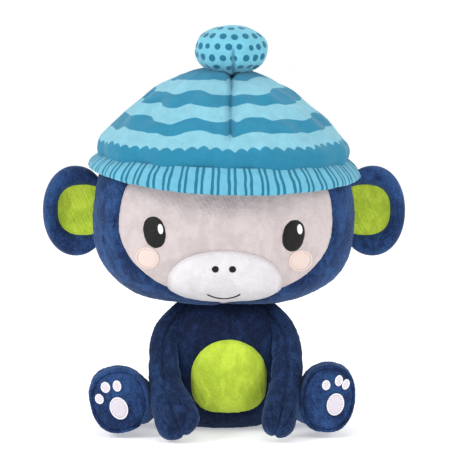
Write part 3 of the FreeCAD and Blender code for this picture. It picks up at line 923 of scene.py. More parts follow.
@dataclass(frozen=True)
class RaisedPatch:
    """A patch that stands a little proud of the cover under it: appliqué or satin stitch."""

    outline: Outline
    height: float
    edge: float = 5.0
    tuck: float = 0.7 * MM

    def mesh(
        self, name: str, carrier: Height, rows: int, columns: int, relief: Height | None = None
    ) -> bpy.types.Object:
        """Build the patch.

        Args:
            name: name of the piece.
            carrier: function that gives the cover's Y at X and Z.
            rows: steps from the centre to the edge.
            columns: steps round.
            relief: function of X and Z for extra height, or None.

        Returns:
            A closed shape: over the carrier it stands height (1 - share^edge)^(1/2), less the tuck.
        """
        share, turn = grid(rows, columns)
        share = np.sin(share * math.pi / 2)
        x, z = self.outline.places(share, turn)
        lift = (self.height + self.tuck) * np.sqrt(np.clip(1 - share**self.edge, 0, 1)) - self.tuck
        if relief is not None:
            lift = lift + relief(x, z) * np.clip(1 - share**4, 0, 1)
        base = carrier(x, z)
        top = np.stack([x, base - lift, z], axis=-1)
        under = np.stack([x, np.maximum(base + self.tuck, base - lift + 0.2 * MM), z], axis=-1)
        points = np.concatenate([top, under[::-1][1:]], axis=0)
        inside = top[0, 0] + np.array([0.0, self.height / 2 + self.tuck, 0.0])
        return mesh_from_grid(name, points, inside)


def piping(name: str, outline: Outline, carrier: Height, radius: float, columns: int = 96) -> bpy.types.Object:
    """Raised line of thread round an outline: a tube of that radius, half sunk in the cover.

    Args:
        name: name of the piece.
        outline: where the line runs.
        carrier: function that gives the cover's Y at X and Z.
        radius: half the line's width.
        columns: steps round the outline.

    Returns:
        A closed ring.
    """
    spin, turn = grid(9, columns)
    spin = spin * 2 * math.pi
    x, z = outline.places(np.ones_like(turn), turn)
    out = np.stack([x - outline.x, z - outline.z], axis=-1)
    out /= np.linalg.norm(out, axis=-1, keepdims=True)
    x, z = x + radius * np.cos(spin) * out[..., 0], z + radius * np.cos(spin) * out[..., 1]
    y = carrier(x, z) - radius * 0.75 * np.sin(spin)
    points = np.stack([x, y, z], axis=-1)
    ring = mesh_from_grid(name, points, points.mean(axis=(0, 1)))
    return outward_shell(ring)


def outward_shell(piece: bpy.types.Object) -> bpy.types.Object:
    """Turn a closed shape's faces outwards, by the sign of its volume.

    Args:
        piece: the closed shape.

    Returns:
        The same piece.
    """
    mesh = piece.data
    mesh.calc_loop_triangles()
    places = np.empty(len(mesh.vertices) * 3)
    mesh.vertices.foreach_get("co", places)
    corners = np.empty(len(mesh.loop_triangles) * 3, dtype=np.int64)
    mesh.loop_triangles.foreach_get("vertices", corners)
    one, two, three = places.reshape(-1, 3)[corners.reshape(-1, 3)].transpose(1, 0, 2)
    if (np.cross(one, two) * three).sum() < 0:
        mesh.flip_normals()
    return piece


def threads(name: str, starts: np.ndarray, ends: np.ndarray, radius: float) -> bpy.types.Object:
    """Short straight stitches as one mesh of round-ended rods.

    Args:
        name: name of the piece.
        starts: first end of each stitch.
        ends: second end of each stitch.
        radius: half the thread's thickness.

    Returns:
        Rods of eight sides, nearly straight, with rounded ends.
    """
    share = np.array([0.0, 0.02, 0.12, 0.5, 0.88, 0.98, 1.0])
    thick = np.array([0.0, 0.6, 0.95, 1.0, 0.95, 0.6, 0.0]) * radius
    spin = np.linspace(0, 2 * math.pi, 9)[:-1]
    along = ends - starts
    side = np.cross(along, np.array([0.0, 1.0, 0.0]))
    side /= np.maximum(np.linalg.norm(side, axis=-1, keepdims=True), 1e-9)
    other = np.cross(along, side)
    other /= np.maximum(np.linalg.norm(other, axis=-1, keepdims=True), 1e-9)
    ring = side[:, None, None] * np.cos(spin)[:, None] + other[:, None, None] * np.sin(spin)[:, None]
    points = (starts[:, None] + along[:, None] * share[:, None])[:, :, None] + ring * thick[:, None, None]
    inner = points[:, 1:-1].reshape(len(starts), -1, 3)
    tips = points[:, [0, -1], 0]
    places = np.concatenate([inner, tips], axis=1).reshape(-1, 3)
    rows, around = len(share) - 2, len(spin)
    cell = np.arange(rows * around).reshape(rows, around)
    following = np.roll(cell, -1, axis=1)
    quads = np.stack([cell[:-1], cell[1:], following[1:], following[:-1]], axis=-1).reshape(-1, 4)
    first = np.stack([np.full(around, rows * around), cell[0], following[0]], axis=-1)
    last = np.stack([np.full(around, rows * around + 1), following[-1], cell[-1]], axis=-1)
    shift = (np.arange(len(starts)) * (rows * around + 2))[:, None, None]
    faces = (quads + shift).reshape(-1, 4).tolist()
    faces += (np.concatenate([first, last]) + shift).reshape(-1, 3).tolist()
    mesh = bpy.data.meshes.new(name)
    mesh.from_pydata(places.tolist(), [], faces)
    mesh.polygons.foreach_set("use_smooth", np.ones(len(faces), bool))
    mesh.update()
    piece = bpy.data.objects.new(name, mesh)
    bpy.context.scene.collection.objects.link(piece)
    return outward_shell(piece)


def eased_path(places: np.ndarray, count: int, softness: float) -> np.ndarray:
    """Smooth line through a few places, evenly spaced along its length.

    Args:
        places: rows of coordinates or sizes; the first three measure the length.
        count: how many samples to give.
        softness: width of the smoothing as a share of the length.

    Returns:
        Samples of the straight pieces after a Gaussian of that width, with the ends kept.
    """
    measured = places[:, : min(3, places.shape[1])]
    walked = np.concatenate([[0], np.cumsum(np.linalg.norm(np.diff(measured, axis=0), axis=1))])
    walked /= walked[-1]
    start, stop, spread = 200, 600, 100  # samples of the line's ends, and of the smoothing's reach
    dense = np.linspace(-0.5, 1.5, 801)
    step = dense[1] - dense[0]
    inside = np.clip(dense, 0, 1)
    line = np.stack([np.interp(inside, walked, column) for column in places.T], axis=1)
    first = (line[start + 2] - line[start]) / (dense[2] - dense[0])
    last = (line[stop] - line[stop - 2]) / (dense[2] - dense[0])
    line += np.minimum(dense, 0)[:, None] * first + np.maximum(dense - 1, 0)[:, None] * last
    reach = np.arange(-spread, spread + 1) * step
    weights = np.exp(-((reach / softness) ** 2) / 2)
    weights /= weights.sum()
    soft = np.stack([np.convolve(column, weights, "same") for column in line.T], axis=1)[start : stop + 1]
    steps = np.linalg.norm(np.diff(soft[:, : measured.shape[1]], axis=0), axis=1)
    length = np.concatenate([[0], np.cumsum(steps)])
    even = np.linspace(0, length[-1], count)
    return np.stack([np.interp(even, length, column) for column in soft.T], axis=1)


# ---------------------------------------------------------------- torso and neck


@dataclass(frozen=True)
class Torso:
    """Upright bean of navy plush with a lime tummy, a flat seat and a closed neck."""

    finishes: Finishes
    form: StuffedForm = StuffedForm(
        np.array([0.0, 0.0, 30 * MM]), 48.5 * MM, 45 * MM, 63 * MM, 34 * MM, 2.3, 2.6, 2.0, 1.0 * MM
    )
    tummy: Outline = Outline(3.5 * MM, 39.6 * MM, 27.3 * MM, 26.6 * MM, 0.0, 2.0, 2.9)
    fabric: float = 1.2 * MM

    def build(self) -> None:
        """Make the tummy, front, back and seat."""
        seam = Seam(1.5 * MM, 2.0 * MM, 1.2 * MM, 7 * MM)
        share, turn = grid(56, 220)
        edge = self.form.lean_to(self.tummy, turn)
        tummy = self.form.panel("tummy_plush", share * edge, turn, (False, True, False, False), seam)
        self.finishes.dress(tummy, "lime_plush", "torso", ("tummy_patch",), 0.85, self.fabric)
        lean = edge + share * (math.pi / 2 - edge)
        front = self.form.panel("torso_front_plush", lean, turn, (True, True, False, False), seam)
        nodes = ("torso_front_panel", "torso_stuffing")
        # the torso's front wears the navy plush with painted deep shade
        self.finishes.dress(front, "navy_plush", "torso", nodes, 0.85, self.fabric, "navy_shaded")
        for side in Side:
            middle = 0 if side is Side.LEFT else math.pi
            share, turn = grid(64, 130, middle - math.pi / 2, middle + math.pi / 2)
            lean = math.pi / 2 * (1 + share)
            sewn = (True, False, True, True)
            back = self.form.panel(f"torso_back_plush_{side.word}", lean, turn, sewn, seam)
            nodes = (f"torso_back_panel_{side.word}",)
            # the back wears the navy plush with painted shade
            self.finishes.dress(back, "navy_plush", "torso", nodes, 0.85, self.fabric, "navy_shade_painted")
        self.seat()

    def seat(self) -> None:
        """Make the oval that the toy sits on: a disc domed by 0.9 mm from its rim inwards."""
        share, turn = grid(16, 140)
        half = np.array([25.8 * MM, 24.0 * MM])
        x, y = half[0] * share * np.cos(turn), half[1] * share * np.sin(turn)
        low = np.stack([x, y, 0.9 * MM * share**8], axis=-1)
        high = np.stack([x, y, np.full_like(x, 1.6 * MM)], axis=-1)[::-1][1:]
        points = np.concatenate([low, high], axis=0)
        seat = mesh_from_grid("seat_plush", points, np.array([0.0, 0.0, 0.8 * MM]))
        self.finishes.dress(seat, "navy_plush", "torso", ("seat_panel", "pellet_pouch", "pellet_fill"), 0.9)


@dataclass(frozen=True)
class Neck:
    """Short plush-covered neck that lets the head nod and turn."""

    finishes: Finishes
    half: float = 21 * MM
    low: float = 76 * MM
    high: float = 100 * MM

    def build(self) -> None:
        """Make the neck: a straight drum, closed by a flat disc at each end."""
        share, turn = grid(30, 90)
        rise = np.clip((share - 0.15) / 0.7, 0, 1)
        radius = self.half * np.clip(share / 0.15, 0, 1) * np.clip((1 - share) / 0.15, 0, 1)
        z = self.low + rise * (self.high - self.low)
        points = np.stack([radius * np.cos(turn), 4 * MM + radius * np.sin(turn), z], axis=-1)
        neck = mesh_from_grid("neck_plush", points, np.array([0.0, 4 * MM, 88 * MM]))
        ends = (0.0, 4 * MM, self.low), (0.0, 4 * MM, self.high)
        bodies = ("torso", "neck", *ends)
        # the neck wears the navy plush with painted deep shade
        self.finishes.dress(neck, "navy_plush", bodies, ("neck_stuffing",), 0.9, 0.0, "navy_shaded")


# ---------------------------------------------------------------- head


@dataclass(frozen=True)
class Head:
    """Wide stuffed head: grey face set into navy plush, with a stitched face and a muzzle."""

    finishes: Finishes
    form: StuffedForm = StuffedForm(
        np.array([0.0, 0.0, 150 * MM]), 90.5 * MM, 63.5 * MM, 85 * MM, 62.5 * MM, 2.3, 2.1, 2.9
    )
    face: Outline = Outline(1.5 * MM, 147 * MM, 75 * MM, 53 * MM, 0.0, 2.6, 2.05)
    muzzle: Outline = Outline(0.5 * MM, 108.2 * MM, 39.2 * MM, 23.4 * MM, 0.0, 2.15, 2.6)
    bulge: float = 9.0 * MM
    fabric: float = 1.2 * MM
    seam: Seam = Seam(2.0 * MM, 2.2 * MM, 1.6 * MM, 9 * MM)

    def build(self) -> None:
        """Make the covers, then what is sewn and stitched on the face."""
        self.covers()
        self.build_muzzle()
        for side in Side:
            self.eye(side)
            self.cheek(side)

    def covers(self) -> None:
        """Make the face, the two side panels and the two back panels."""
        share, turn = grid(70, 330)
        edge = self.form.lean_to(self.face, turn)
        face = self.form.panel("face_plush", share * edge, turn, (False, True, False, False), self.seam)
        self.finishes.dress(face, "grey_plush", "head", ("face_panel", "head_stuffing"), 0.95, self.fabric)
        for side in Side:
            middle = 0 if side is Side.LEFT else math.pi
            share, turn = grid(52, 230, middle - math.pi / 2, middle + math.pi / 2)
            edge = self.form.lean_to(self.face, turn)
            self.navy(f"head_side_plush_{side.word}", edge + share * (math.pi / 2 - edge), turn, True)
            share, turn = grid(84, 210, middle - math.pi / 2, middle + math.pi / 2)
            self.navy(f"head_back_plush_{side.word}", math.pi / 2 * (1 + share), turn, False)

    def navy(self, name: str, lean: np.ndarray, turn: np.ndarray, sewn_last: bool) -> None:
        """Make one navy panel, which stands for the node of the same name.

        Args:
            name: name of the piece.
            lean: leans of the grid.
            turn: turns of the grid.
            sewn_last: whether its last row is sewn too.
        """
        panel = self.form.panel(name, lean, turn, (True, sewn_last, True, True), self.seam)
        node = name.replace("plush", "panel")
        self.finishes.dress(panel, "navy_plush", "head", (node,), 0.95, self.fabric)

    def face_y(self, x: np.ndarray, z: np.ndarray) -> np.ndarray:
        """Y of the puffed face.

        Args:
            x: X of each place.
            z: Z of each place.

        Returns:
            The form's Y, less the relief over the slope there.
        """
        inwards = np.clip(1 - self.face.share(x, z), 0, 1) * self.face.half_z
        places = np.stack([x, self.form.front(x, z), z], axis=-1)
        facing = np.maximum(-self.form.outward(places)[..., 1], 0.3)
        return places[..., 1] - (self.seam.relief(inwards) + lumps(places)) / facing

    def muzzle_y(self, x: np.ndarray, z: np.ndarray) -> np.ndarray:
        """Y of the muzzle's dome.

        Args:
            x: X of each place.
            z: Z of each place.

        Returns:
            The face's Y, less bulge times the root of 1 - share^2.6.
        """
        share = np.clip(self.muzzle.share(x, z), 0, 1)
        dome = self.bulge * np.sqrt(np.clip(1 - share**2.6, 0, 1))
        return self.face_y(x, z) - dome

    def build_muzzle(self) -> None:
        """Make the white appliqué with its edge stitch, the nostrils and the smile."""
        patch = RaisedPatch(self.muzzle, self.bulge, 2.6, 1.2 * MM)
        cover = patch.mesh("muzzle_plush", self.face_y, 60, 220, dents)
        self.finishes.dress(cover, "white_plush", "head", ("muzzle_cover", "muzzle_stuffing"), 0.7)
        turn = np.linspace(0, 2 * math.pi, 190)[:-1]
        inner, outer = (self.muzzle.places(np.full_like(turn, share), turn) for share in (0.955, 1.012))
        starts, ends = (
            np.stack([x, self.muzzle_y(x, z) - 0.15 * MM, z], axis=-1) for x, z in (inner, outer)
        )
        row = threads("muzzle_edge_stitches", starts, ends, 0.16 * MM)
        self.finishes.dress(row, "white_thread", "head")
        for side in Side:
            spot = Outline(side.value * 5.9 * MM, 119.6 * MM, 2.5 * MM, 2.5 * MM)
            patch = RaisedPatch(spot, 0.7 * MM, 4.0, 0.6 * MM)
            nostril = patch.mesh(f"nostril_{side.word}", self.muzzle_y, 10, 36)
            stands_for = ("nostril_stitches",) if side is Side.LEFT else ()
            self.finishes.dress(nostril, "black_thread", "head", stands_for)
        self.smile()

    def smile(self) -> None:
        """Make the mouth: overlapping stitches along an arc, turned up at the ends."""
        across = np.linspace(-11.2 * MM, 11.2 * MM, 15)
        up = 97.2 * MM + 3.4 * MM * np.abs(across / (11.2 * MM)) ** 2.2
        line = np.stack([across - 0.2 * MM, self.muzzle_y(across, up) - 0.25 * MM, up], axis=-1)
        overlap = 0.12 * np.diff(line, axis=0)
        smile = threads("smile_stitches", line[:-1] - overlap, line[1:] + overlap, 0.55 * MM)
        self.finishes.dress(smile, "black_thread", "head", ("mouth_stitch",))

    def eye(self, side: Side) -> None:
        """Make one satin-stitched eye and its glint.

        Args:
            side: side of the face.
        """
        tilt = math.radians(-9) * side.value
        x, z, glint_up = (47.8, 141.2, 4.4) if side is Side.LEFT else (-47.8, 143.6, 2.6)
        outline = Outline(x * MM, z * MM, 7.9 * MM, 11.3 * MM, tilt, 2.15)
        rows = ridges(0.07 * MM, 0.35, 0.9 * MM)
        eye = RaisedPatch(outline, 1.3 * MM, 7.0).mesh(f"eye_satin_{side.word}", self.face_y, 44, 130, rows)
        self.finishes.dress(eye, "black_thread", "head", (f"eye_{side.word}",))
        x, z = outline.x + 4.2 * MM, outline.z + glint_up * MM
        patch = RaisedPatch(Outline(x, z, 1.9 * MM, 3.7 * MM, math.radians(8), 2.1), 0.6 * MM, 4.0, 0.5 * MM)
        glint = patch.mesh(f"eye_glint_satin_{side.word}", proud(self.face_y, 1.25 * MM), 16, 48)
        self.finishes.dress(glint, "white_thread", "head", (f"eye_glint_{side.word}",))

    def cheek(self, side: Side) -> None:
        """Make one pale cheek with its raised border.

        Args:
            side: side of the face.
        """
        z = 123 * MM + (side is Side.RIGHT) * 2.0 * MM
        outline = Outline(side.value * 52.8 * MM, z, 7.5 * MM, 7.3 * MM)
        rows = ridges(0.08 * MM, -0.5, 1.1 * MM)
        patch = RaisedPatch(outline, 0.8 * MM, 6.0)
        cheek = patch.mesh(f"cheek_satin_{side.word}", self.face_y, 34, 90, rows)
        self.finishes.dress(cheek, "pink_thread", "head", (f"cheek_{side.word}",))
        border = piping(f"cheek_border_{side.word}", outline, proud(self.face_y, 0.5 * MM), 0.65 * MM)
        self.finishes.dress(border, "pink_thread", "head")


@dataclass(frozen=True)
class Ear:
    """Round stuffed ear: a navy rim round a dished lime lining, sewn into the head's side."""

    finishes: Finishes
    side: Side
    outline_z: float = 150.5 * MM
    lining: float = 0.6
    puff: float = 8.0 * MM

    def build(self) -> None:
        """Make the rim, the lining and the back."""
        self.sheet("ear_rim_plush", "navy_plush", ("ear_front_panel", "ear_stuffing"), self.lining, 1.0, -1)
        self.sheet("ear_lining_plush", "lime_plush", ("ear_inner_patch",), 0.0, self.lining, -1)
        self.sheet("ear_back_plush", "navy_plush", ("ear_back_panel",), 0.0, 1.0, 1)

    def sheet(
        self, name: str, slot: str, nodes: tuple[str, ...], inner: float, outer: float, face: int
    ) -> None:
        """Make one cover of the ear between two shares of its outline.

        The front stands puff times the root of 1 - |u|^2.4 over the rim, where u runs from
        -1 at the lining to 1 at the outline, and the lining is dished by 3 mm inside it.

        Args:
            name: name of the piece without its side.
            slot: the record's material slot.
            nodes: frame nodes that it replaces, without their side.
            inner: share at which it starts.
            outer: share at which it ends.
            face: -1 for the front, 1 for the back.
        """
        part, turn = grid(34 if outer - inner > 0.5 else 30, 190)
        share = inner + part * (outer - inner)
        sign = self.side.value
        rim_line = Outline(sign * 103.8 * MM, self.outline_z, 23.0 * MM, 31.8 * MM, 0.0, 2.1)
        lining_line = Outline(sign * 98.6 * MM, self.outline_z + 1 * MM, 17.6 * MM, 17.8 * MM, 0.0, 2.5)
        x_in, z_in = lining_line.places(np.minimum(share / self.lining, 1), turn)
        x_out, z_out = rim_line.places(np.ones_like(turn), turn)
        grown = np.clip((share - self.lining) / (1 - self.lining), 0, 1)
        x, z = x_in + (x_out - x_in) * grown, z_in + (z_out - z_in) * grown
        rim = self.puff * np.clip(1 - np.abs(grown * 2 - 1) ** 2.4, 0, 1) ** 0.5
        rim = np.maximum(rim, 3.0 * MM * (1 - smooth(share, 0.8, 1.0)))
        front = np.where(share <= self.lining, 3.0 * MM * (share / self.lining) ** 3, rim)
        back = self.puff * np.clip(1 - share**2.6, 0, 1) ** 0.5
        lift = front if face < 0 else back
        places = np.stack([x, face * lift, z], axis=-1)
        places[..., 1] += face * pile(places) * np.clip((1 - share) / 0.1, 0, 1)
        places[..., 1] += 1.0 * MM
        inside = np.array([rim_line.x, 1.0 * MM - face * 6 * MM, rim_line.z])
        piece = mesh_from_grid(f"{name}_{self.side.word}", places, inside, cloth_lengths(places))
        root = (sign * 86 * MM, 0.0, self.outline_z), (sign * 98 * MM, 0.0, self.outline_z)
        stands_for = tuple(f"{node}_{self.side.word}" for node in nodes)
        self.finishes.dress(piece, slot, ("head", f"ear_{self.side.word}", *root), stands_for, 0.8, 1.1 * MM)


# ---------------------------------------------------------------- hat


@dataclass(frozen=True)
class Hat:
    """Loose jersey hat: a two-part crown gathered into a turned-up brim, with a pompom."""

    finishes: Finishes
    seam_z: float = 188.4 * MM
    tilt: float = math.radians(1.6)
    ratio: float = 0.8
    fabric: float = 1.4 * MM

    def lean(self, places: np.ndarray) -> np.ndarray:
        """Tip the hat down towards the toy's left.

        Args:
            places: points in metres.

        Returns:
            The same points with z less x times the tilt's tangent.
        """
        tipped = places.copy()
        tipped[..., 2] -= places[..., 0] * math.tan(self.tilt)
        return tipped

    def build(self) -> None:
        """Make the crown, brim and pompom."""
        self.crown_part("hat_crown_front_jersey", "hat_crown_front", math.pi)
        self.crown_part("hat_crown_back_jersey", "hat_crown_back", 0.0)
        self.brim()
        self.pompom()

    def crown_part(self, name: str, node: str, start: float) -> None:
        """Make one half of the crown.

        Half widths by height are smoothed along the profile; each ring is a rounded
        oval of power 2.2, gathered near the seam and softly folded above it.

        Args:
            name: name of the piece.
            node: frame node that it replaces.
            start: turn at which the half starts; it spans half a circle.
        """
        profile = np.array(
            [[0.5, 251.5], [12, 251.2], [22, 248.5], [33, 244], [48, 235.5], [64.6, 222], [73, 214],
             [80, 206.5], [87.2, 200.5], [88.6, 196], [88.0, 191], [85.6, 187], [85.4, 181.5]]
        ) * MM
        line = eased_path(profile, 110, 0.022)
        line[0, 0] = 0.0
        turn = grid(110, 300, start, start + math.pi)[1]
        radius, z = np.repeat(line[:, :1], 300, axis=1), np.repeat(line[:, 1:], 300, axis=1)
        power = 2.15
        oval = (np.abs(np.cos(turn)) ** power + np.abs(np.sin(turn)) ** power) ** (-1 / power)
        flat = np.stack([radius * oval * np.cos(turn), self.ratio * radius * oval * np.sin(turn), z], axis=-1)
        around = 88 * MM * turn
        slow = np.stack([around, z * 0.35, radius], axis=-1)
        folds = 1.1 * MM * ripple(slow, 30 * MM, 21) * smooth(radius, 15 * MM, 60 * MM)
        low = smooth(z, 215 * MM, 190 * MM)
        gathers = 0.8 * MM * low * ripple(np.stack([around, z * 0.1, z * 0], axis=-1), 11 * MM, 22)
        knit = 0.1 * MM * ripple(flat, 2.6 * MM, 23)
        off = flat[..., 0] - 5 * MM - 0.03 * (z - 230 * MM)
        valley = groove(off, 4.6 * MM, 2.6 * MM) + groove(off, 1.8 * MM, 11 * MM)
        dart = np.where(flat[..., 1] < 0, valley * smooth(z, 200 * MM, 216 * MM), 0.0)
        ends = np.minimum(turn - start, start + math.pi - turn) * np.maximum(radius, 20 * MM)
        side_seam = groove(ends, 1.3 * MM, 1.8 * MM)
        near = arc_lengths(flat, 0)
        foot = groove(near[-1:] - near, 2.0 * MM, 2.6 * MM)
        normal = normals_of(flat, np.array([0.0, 0.0, 195 * MM]))
        lift = folds + gathers + knit + dart + side_seam + foot
        lift *= smooth(radius, 0.0, 6 * MM)
        places = self.lean(flat + normal * lift[..., None])
        cloth = np.stack([around, near], axis=-1)
        piece = mesh_from_grid(name, places, np.array([0.0, 0.0, 195 * MM]), cloth)
        self.finishes.dress(piece, "hat_jersey", "hat", (node,), None, self.fabric)

    def brim(self) -> None:
        """Make the turned-up brim: a soft closed fold whose section leans out as it drops."""
        spin, turn = grid(64, 620)
        spin = spin * 2 * math.pi
        cos = np.cos(turn)
        high = self.seam_z + 1.2 * MM
        depth = 17.8 * MM - np.where(cos < 0, 8.6 * MM, 5.2 * MM) * cos**2
        down = (1 - np.cos(spin)) / 2
        thick = 2.9 * MM * np.sin(spin) * (0.75 + 0.5 * down)
        flare = 8.6 * MM * down**0.9
        out = flare + thick - 1.0 * MM
        power = 2.15
        oval = (np.abs(np.cos(turn)) ** power + np.abs(np.sin(turn)) ** power) ** (-1 / power)
        wide, deep = 86.2 * MM + out, 86.2 * MM * self.ratio + 2.0 * MM + out
        x, y = wide * oval * np.cos(turn), deep * oval * np.sin(turn)
        z = high - depth * down
        around = 90 * MM * turn
        waves = ripple(np.stack([around, z * 0.3, z * 0], axis=-1), 16 * MM, 31)
        z = z + 0.35 * MM * waves * down
        flat = np.stack([x, y, z], axis=-1)
        swell = 0.45 * MM * waves + 0.08 * MM * ripple(flat, 2.6 * MM, 32)
        pinch = groove(down * depth, 0.8 * MM, 3 * MM) * np.sin(np.clip(spin, 0, math.pi))
        outer = np.stack([np.cos(turn), np.sin(turn), np.zeros_like(turn)], axis=-1)
        flat = flat + outer * (swell + pinch)[..., None]
        places = self.lean(flat)
        cloth = np.stack([around, arc_lengths(places, 0)], axis=-1)
        piece = mesh_from_grid("hat_brim_jersey", places, places.mean(axis=(0, 1)), cloth)
        outward_shell(piece)
        self.finishes.dress(piece, "brim_jersey", "hat", ("hat_brim",), 0.3)

    def pompom(self) -> None:
        """Make the gathered pompom with its slit, and the thread that draws it in.

        The ball is an ellipsoid of half sizes 25.2, 22 and 17.4 mm; eleven gathers run up
        from the foot and fade by half way.
        """
        centre = np.array([5 * MM, 0.0, 263.6 * MM])
        half = np.array([25.2 * MM, 22 * MM, 17.4 * MM])
        share, turn = grid(90, 220)
        lean = share * math.pi
        ways = np.stack([np.sin(lean) * np.cos(turn), np.sin(lean) * np.sin(turn), np.cos(lean)], axis=-1)
        places = centre + ways * half
        low = smooth(lean, 1.5, 2.7)
        gathers = 0.9 * MM * low * np.sin(turn * 11 + 1.5 * np.sin(2 * turn)) * np.sin(lean)
        front = smooth(-ways[..., 1], 0.2, 0.6)
        slit = front * groove(places[..., 0] - 6.5 * MM, 3.6 * MM, 1.3 * MM) * smooth(lean, 1.15, 1.7)
        lumps = 0.5 * MM * ripple(places, 17 * MM, 41) + 0.08 * MM * ripple(places, 2.6 * MM, 42)
        places = places + ways * ((gathers + slit) + lumps * np.sin(lean) ** 0.5)[..., None]
        rows = np.arange(1, 7) / 7 * math.pi
        lattice = [
            (angle, 2 * math.pi * (k + 0.5 * (row % 2)) / count)
            for row, angle in enumerate(rows)
            for count in [max(4, round(23.5 * 2 * math.pi * math.sin(angle) / 7.7))]
            for k in range(count)
        ]
        leans, turns = np.array(lattice).T
        spots = centre + half * np.stack(
            [np.sin(leans) * np.cos(turns), np.sin(leans) * np.sin(turns), np.cos(leans)], axis=-1
        )
        draw = np.random.default_rng(SEED)
        spots += draw.normal(scale=0.5 * MM, size=spots.shape)
        away = np.linalg.norm(places[:, :, None] - spots[None, None], axis=-1).min(axis=-1)
        cloth = np.stack([turn * 24 * MM, lean * 20 * MM], axis=-1)
        piece = mesh_from_grid("pompom_jersey", places, centre, cloth, {"dot": away})
        self.finishes.dress(piece, "pompom_jersey", "pompom", ("pompom_cover", "pompom_stuffing"), 0.9)
        angles = np.linspace(0, 2 * math.pi, 13)
        x, y = centre[0] + 8.2 * MM * np.cos(angles), 7.6 * MM * np.sin(angles)
        ring = np.stack([x, y, np.full_like(x, 248.6 * MM)], axis=-1)
        tie = threads("pompom_gather_thread", ring[:-1], ring[1:], 0.5 * MM)
        self.finishes.dress(tie, "navy_thread", "pompom", ("pompom_gather_stitch",))


# ---------------------------------------------------------------- limbs


@dataclass(frozen=True)
class Tube:
    """Stuffed tube along a line, with its own half widths across and front to back."""

    line: np.ndarray  # x, y, z, half width across, half width front to back, in metres
    rows: int = 110

    def path(self) -> np.ndarray:
        """The line and its half widths, smoothed and evenly spaced."""
        return eased_path(self.line, self.rows, 0.045)

    def rings(self, turn: np.ndarray) -> tuple[np.ndarray, np.ndarray]:
        """Places and outward directions of the tube.

        Args:
            turn: angles of the columns, 0 towards the front and rising towards +X.

        Returns:
            The line plus front cos turn times the depth plus side sin turn times the
            width, and the unit direction outwards.
        """
        line = self.path()
        tangent = np.gradient(line[:, :3], axis=0)
        tangent /= np.linalg.norm(tangent, axis=1, keepdims=True)
        side = np.cross(tangent, [0.0, -1.0, 0.0])
        long_enough = np.linalg.norm(side, axis=1, keepdims=True) > 0.2
        side = np.where(long_enough, side, np.cross(tangent, [0, 0, 1.0]))
        side *= np.sign(side[:, :1] + 1e-12)
        side /= np.linalg.norm(side, axis=1, keepdims=True)
        front = np.cross(tangent, side)
        front *= np.where(front[:, 1:2] > 0, -1.0, 1.0)
        cos, sin = np.cos(turn)[..., None], np.sin(turn)[..., None]
        across = side[:, None] * sin + front[:, None] * cos
        reach = side[:, None] * sin * line[:, None, 3:4] + front[:, None] * cos * line[:, None, 4:5]
        return line[:, None, :3] + reach, across


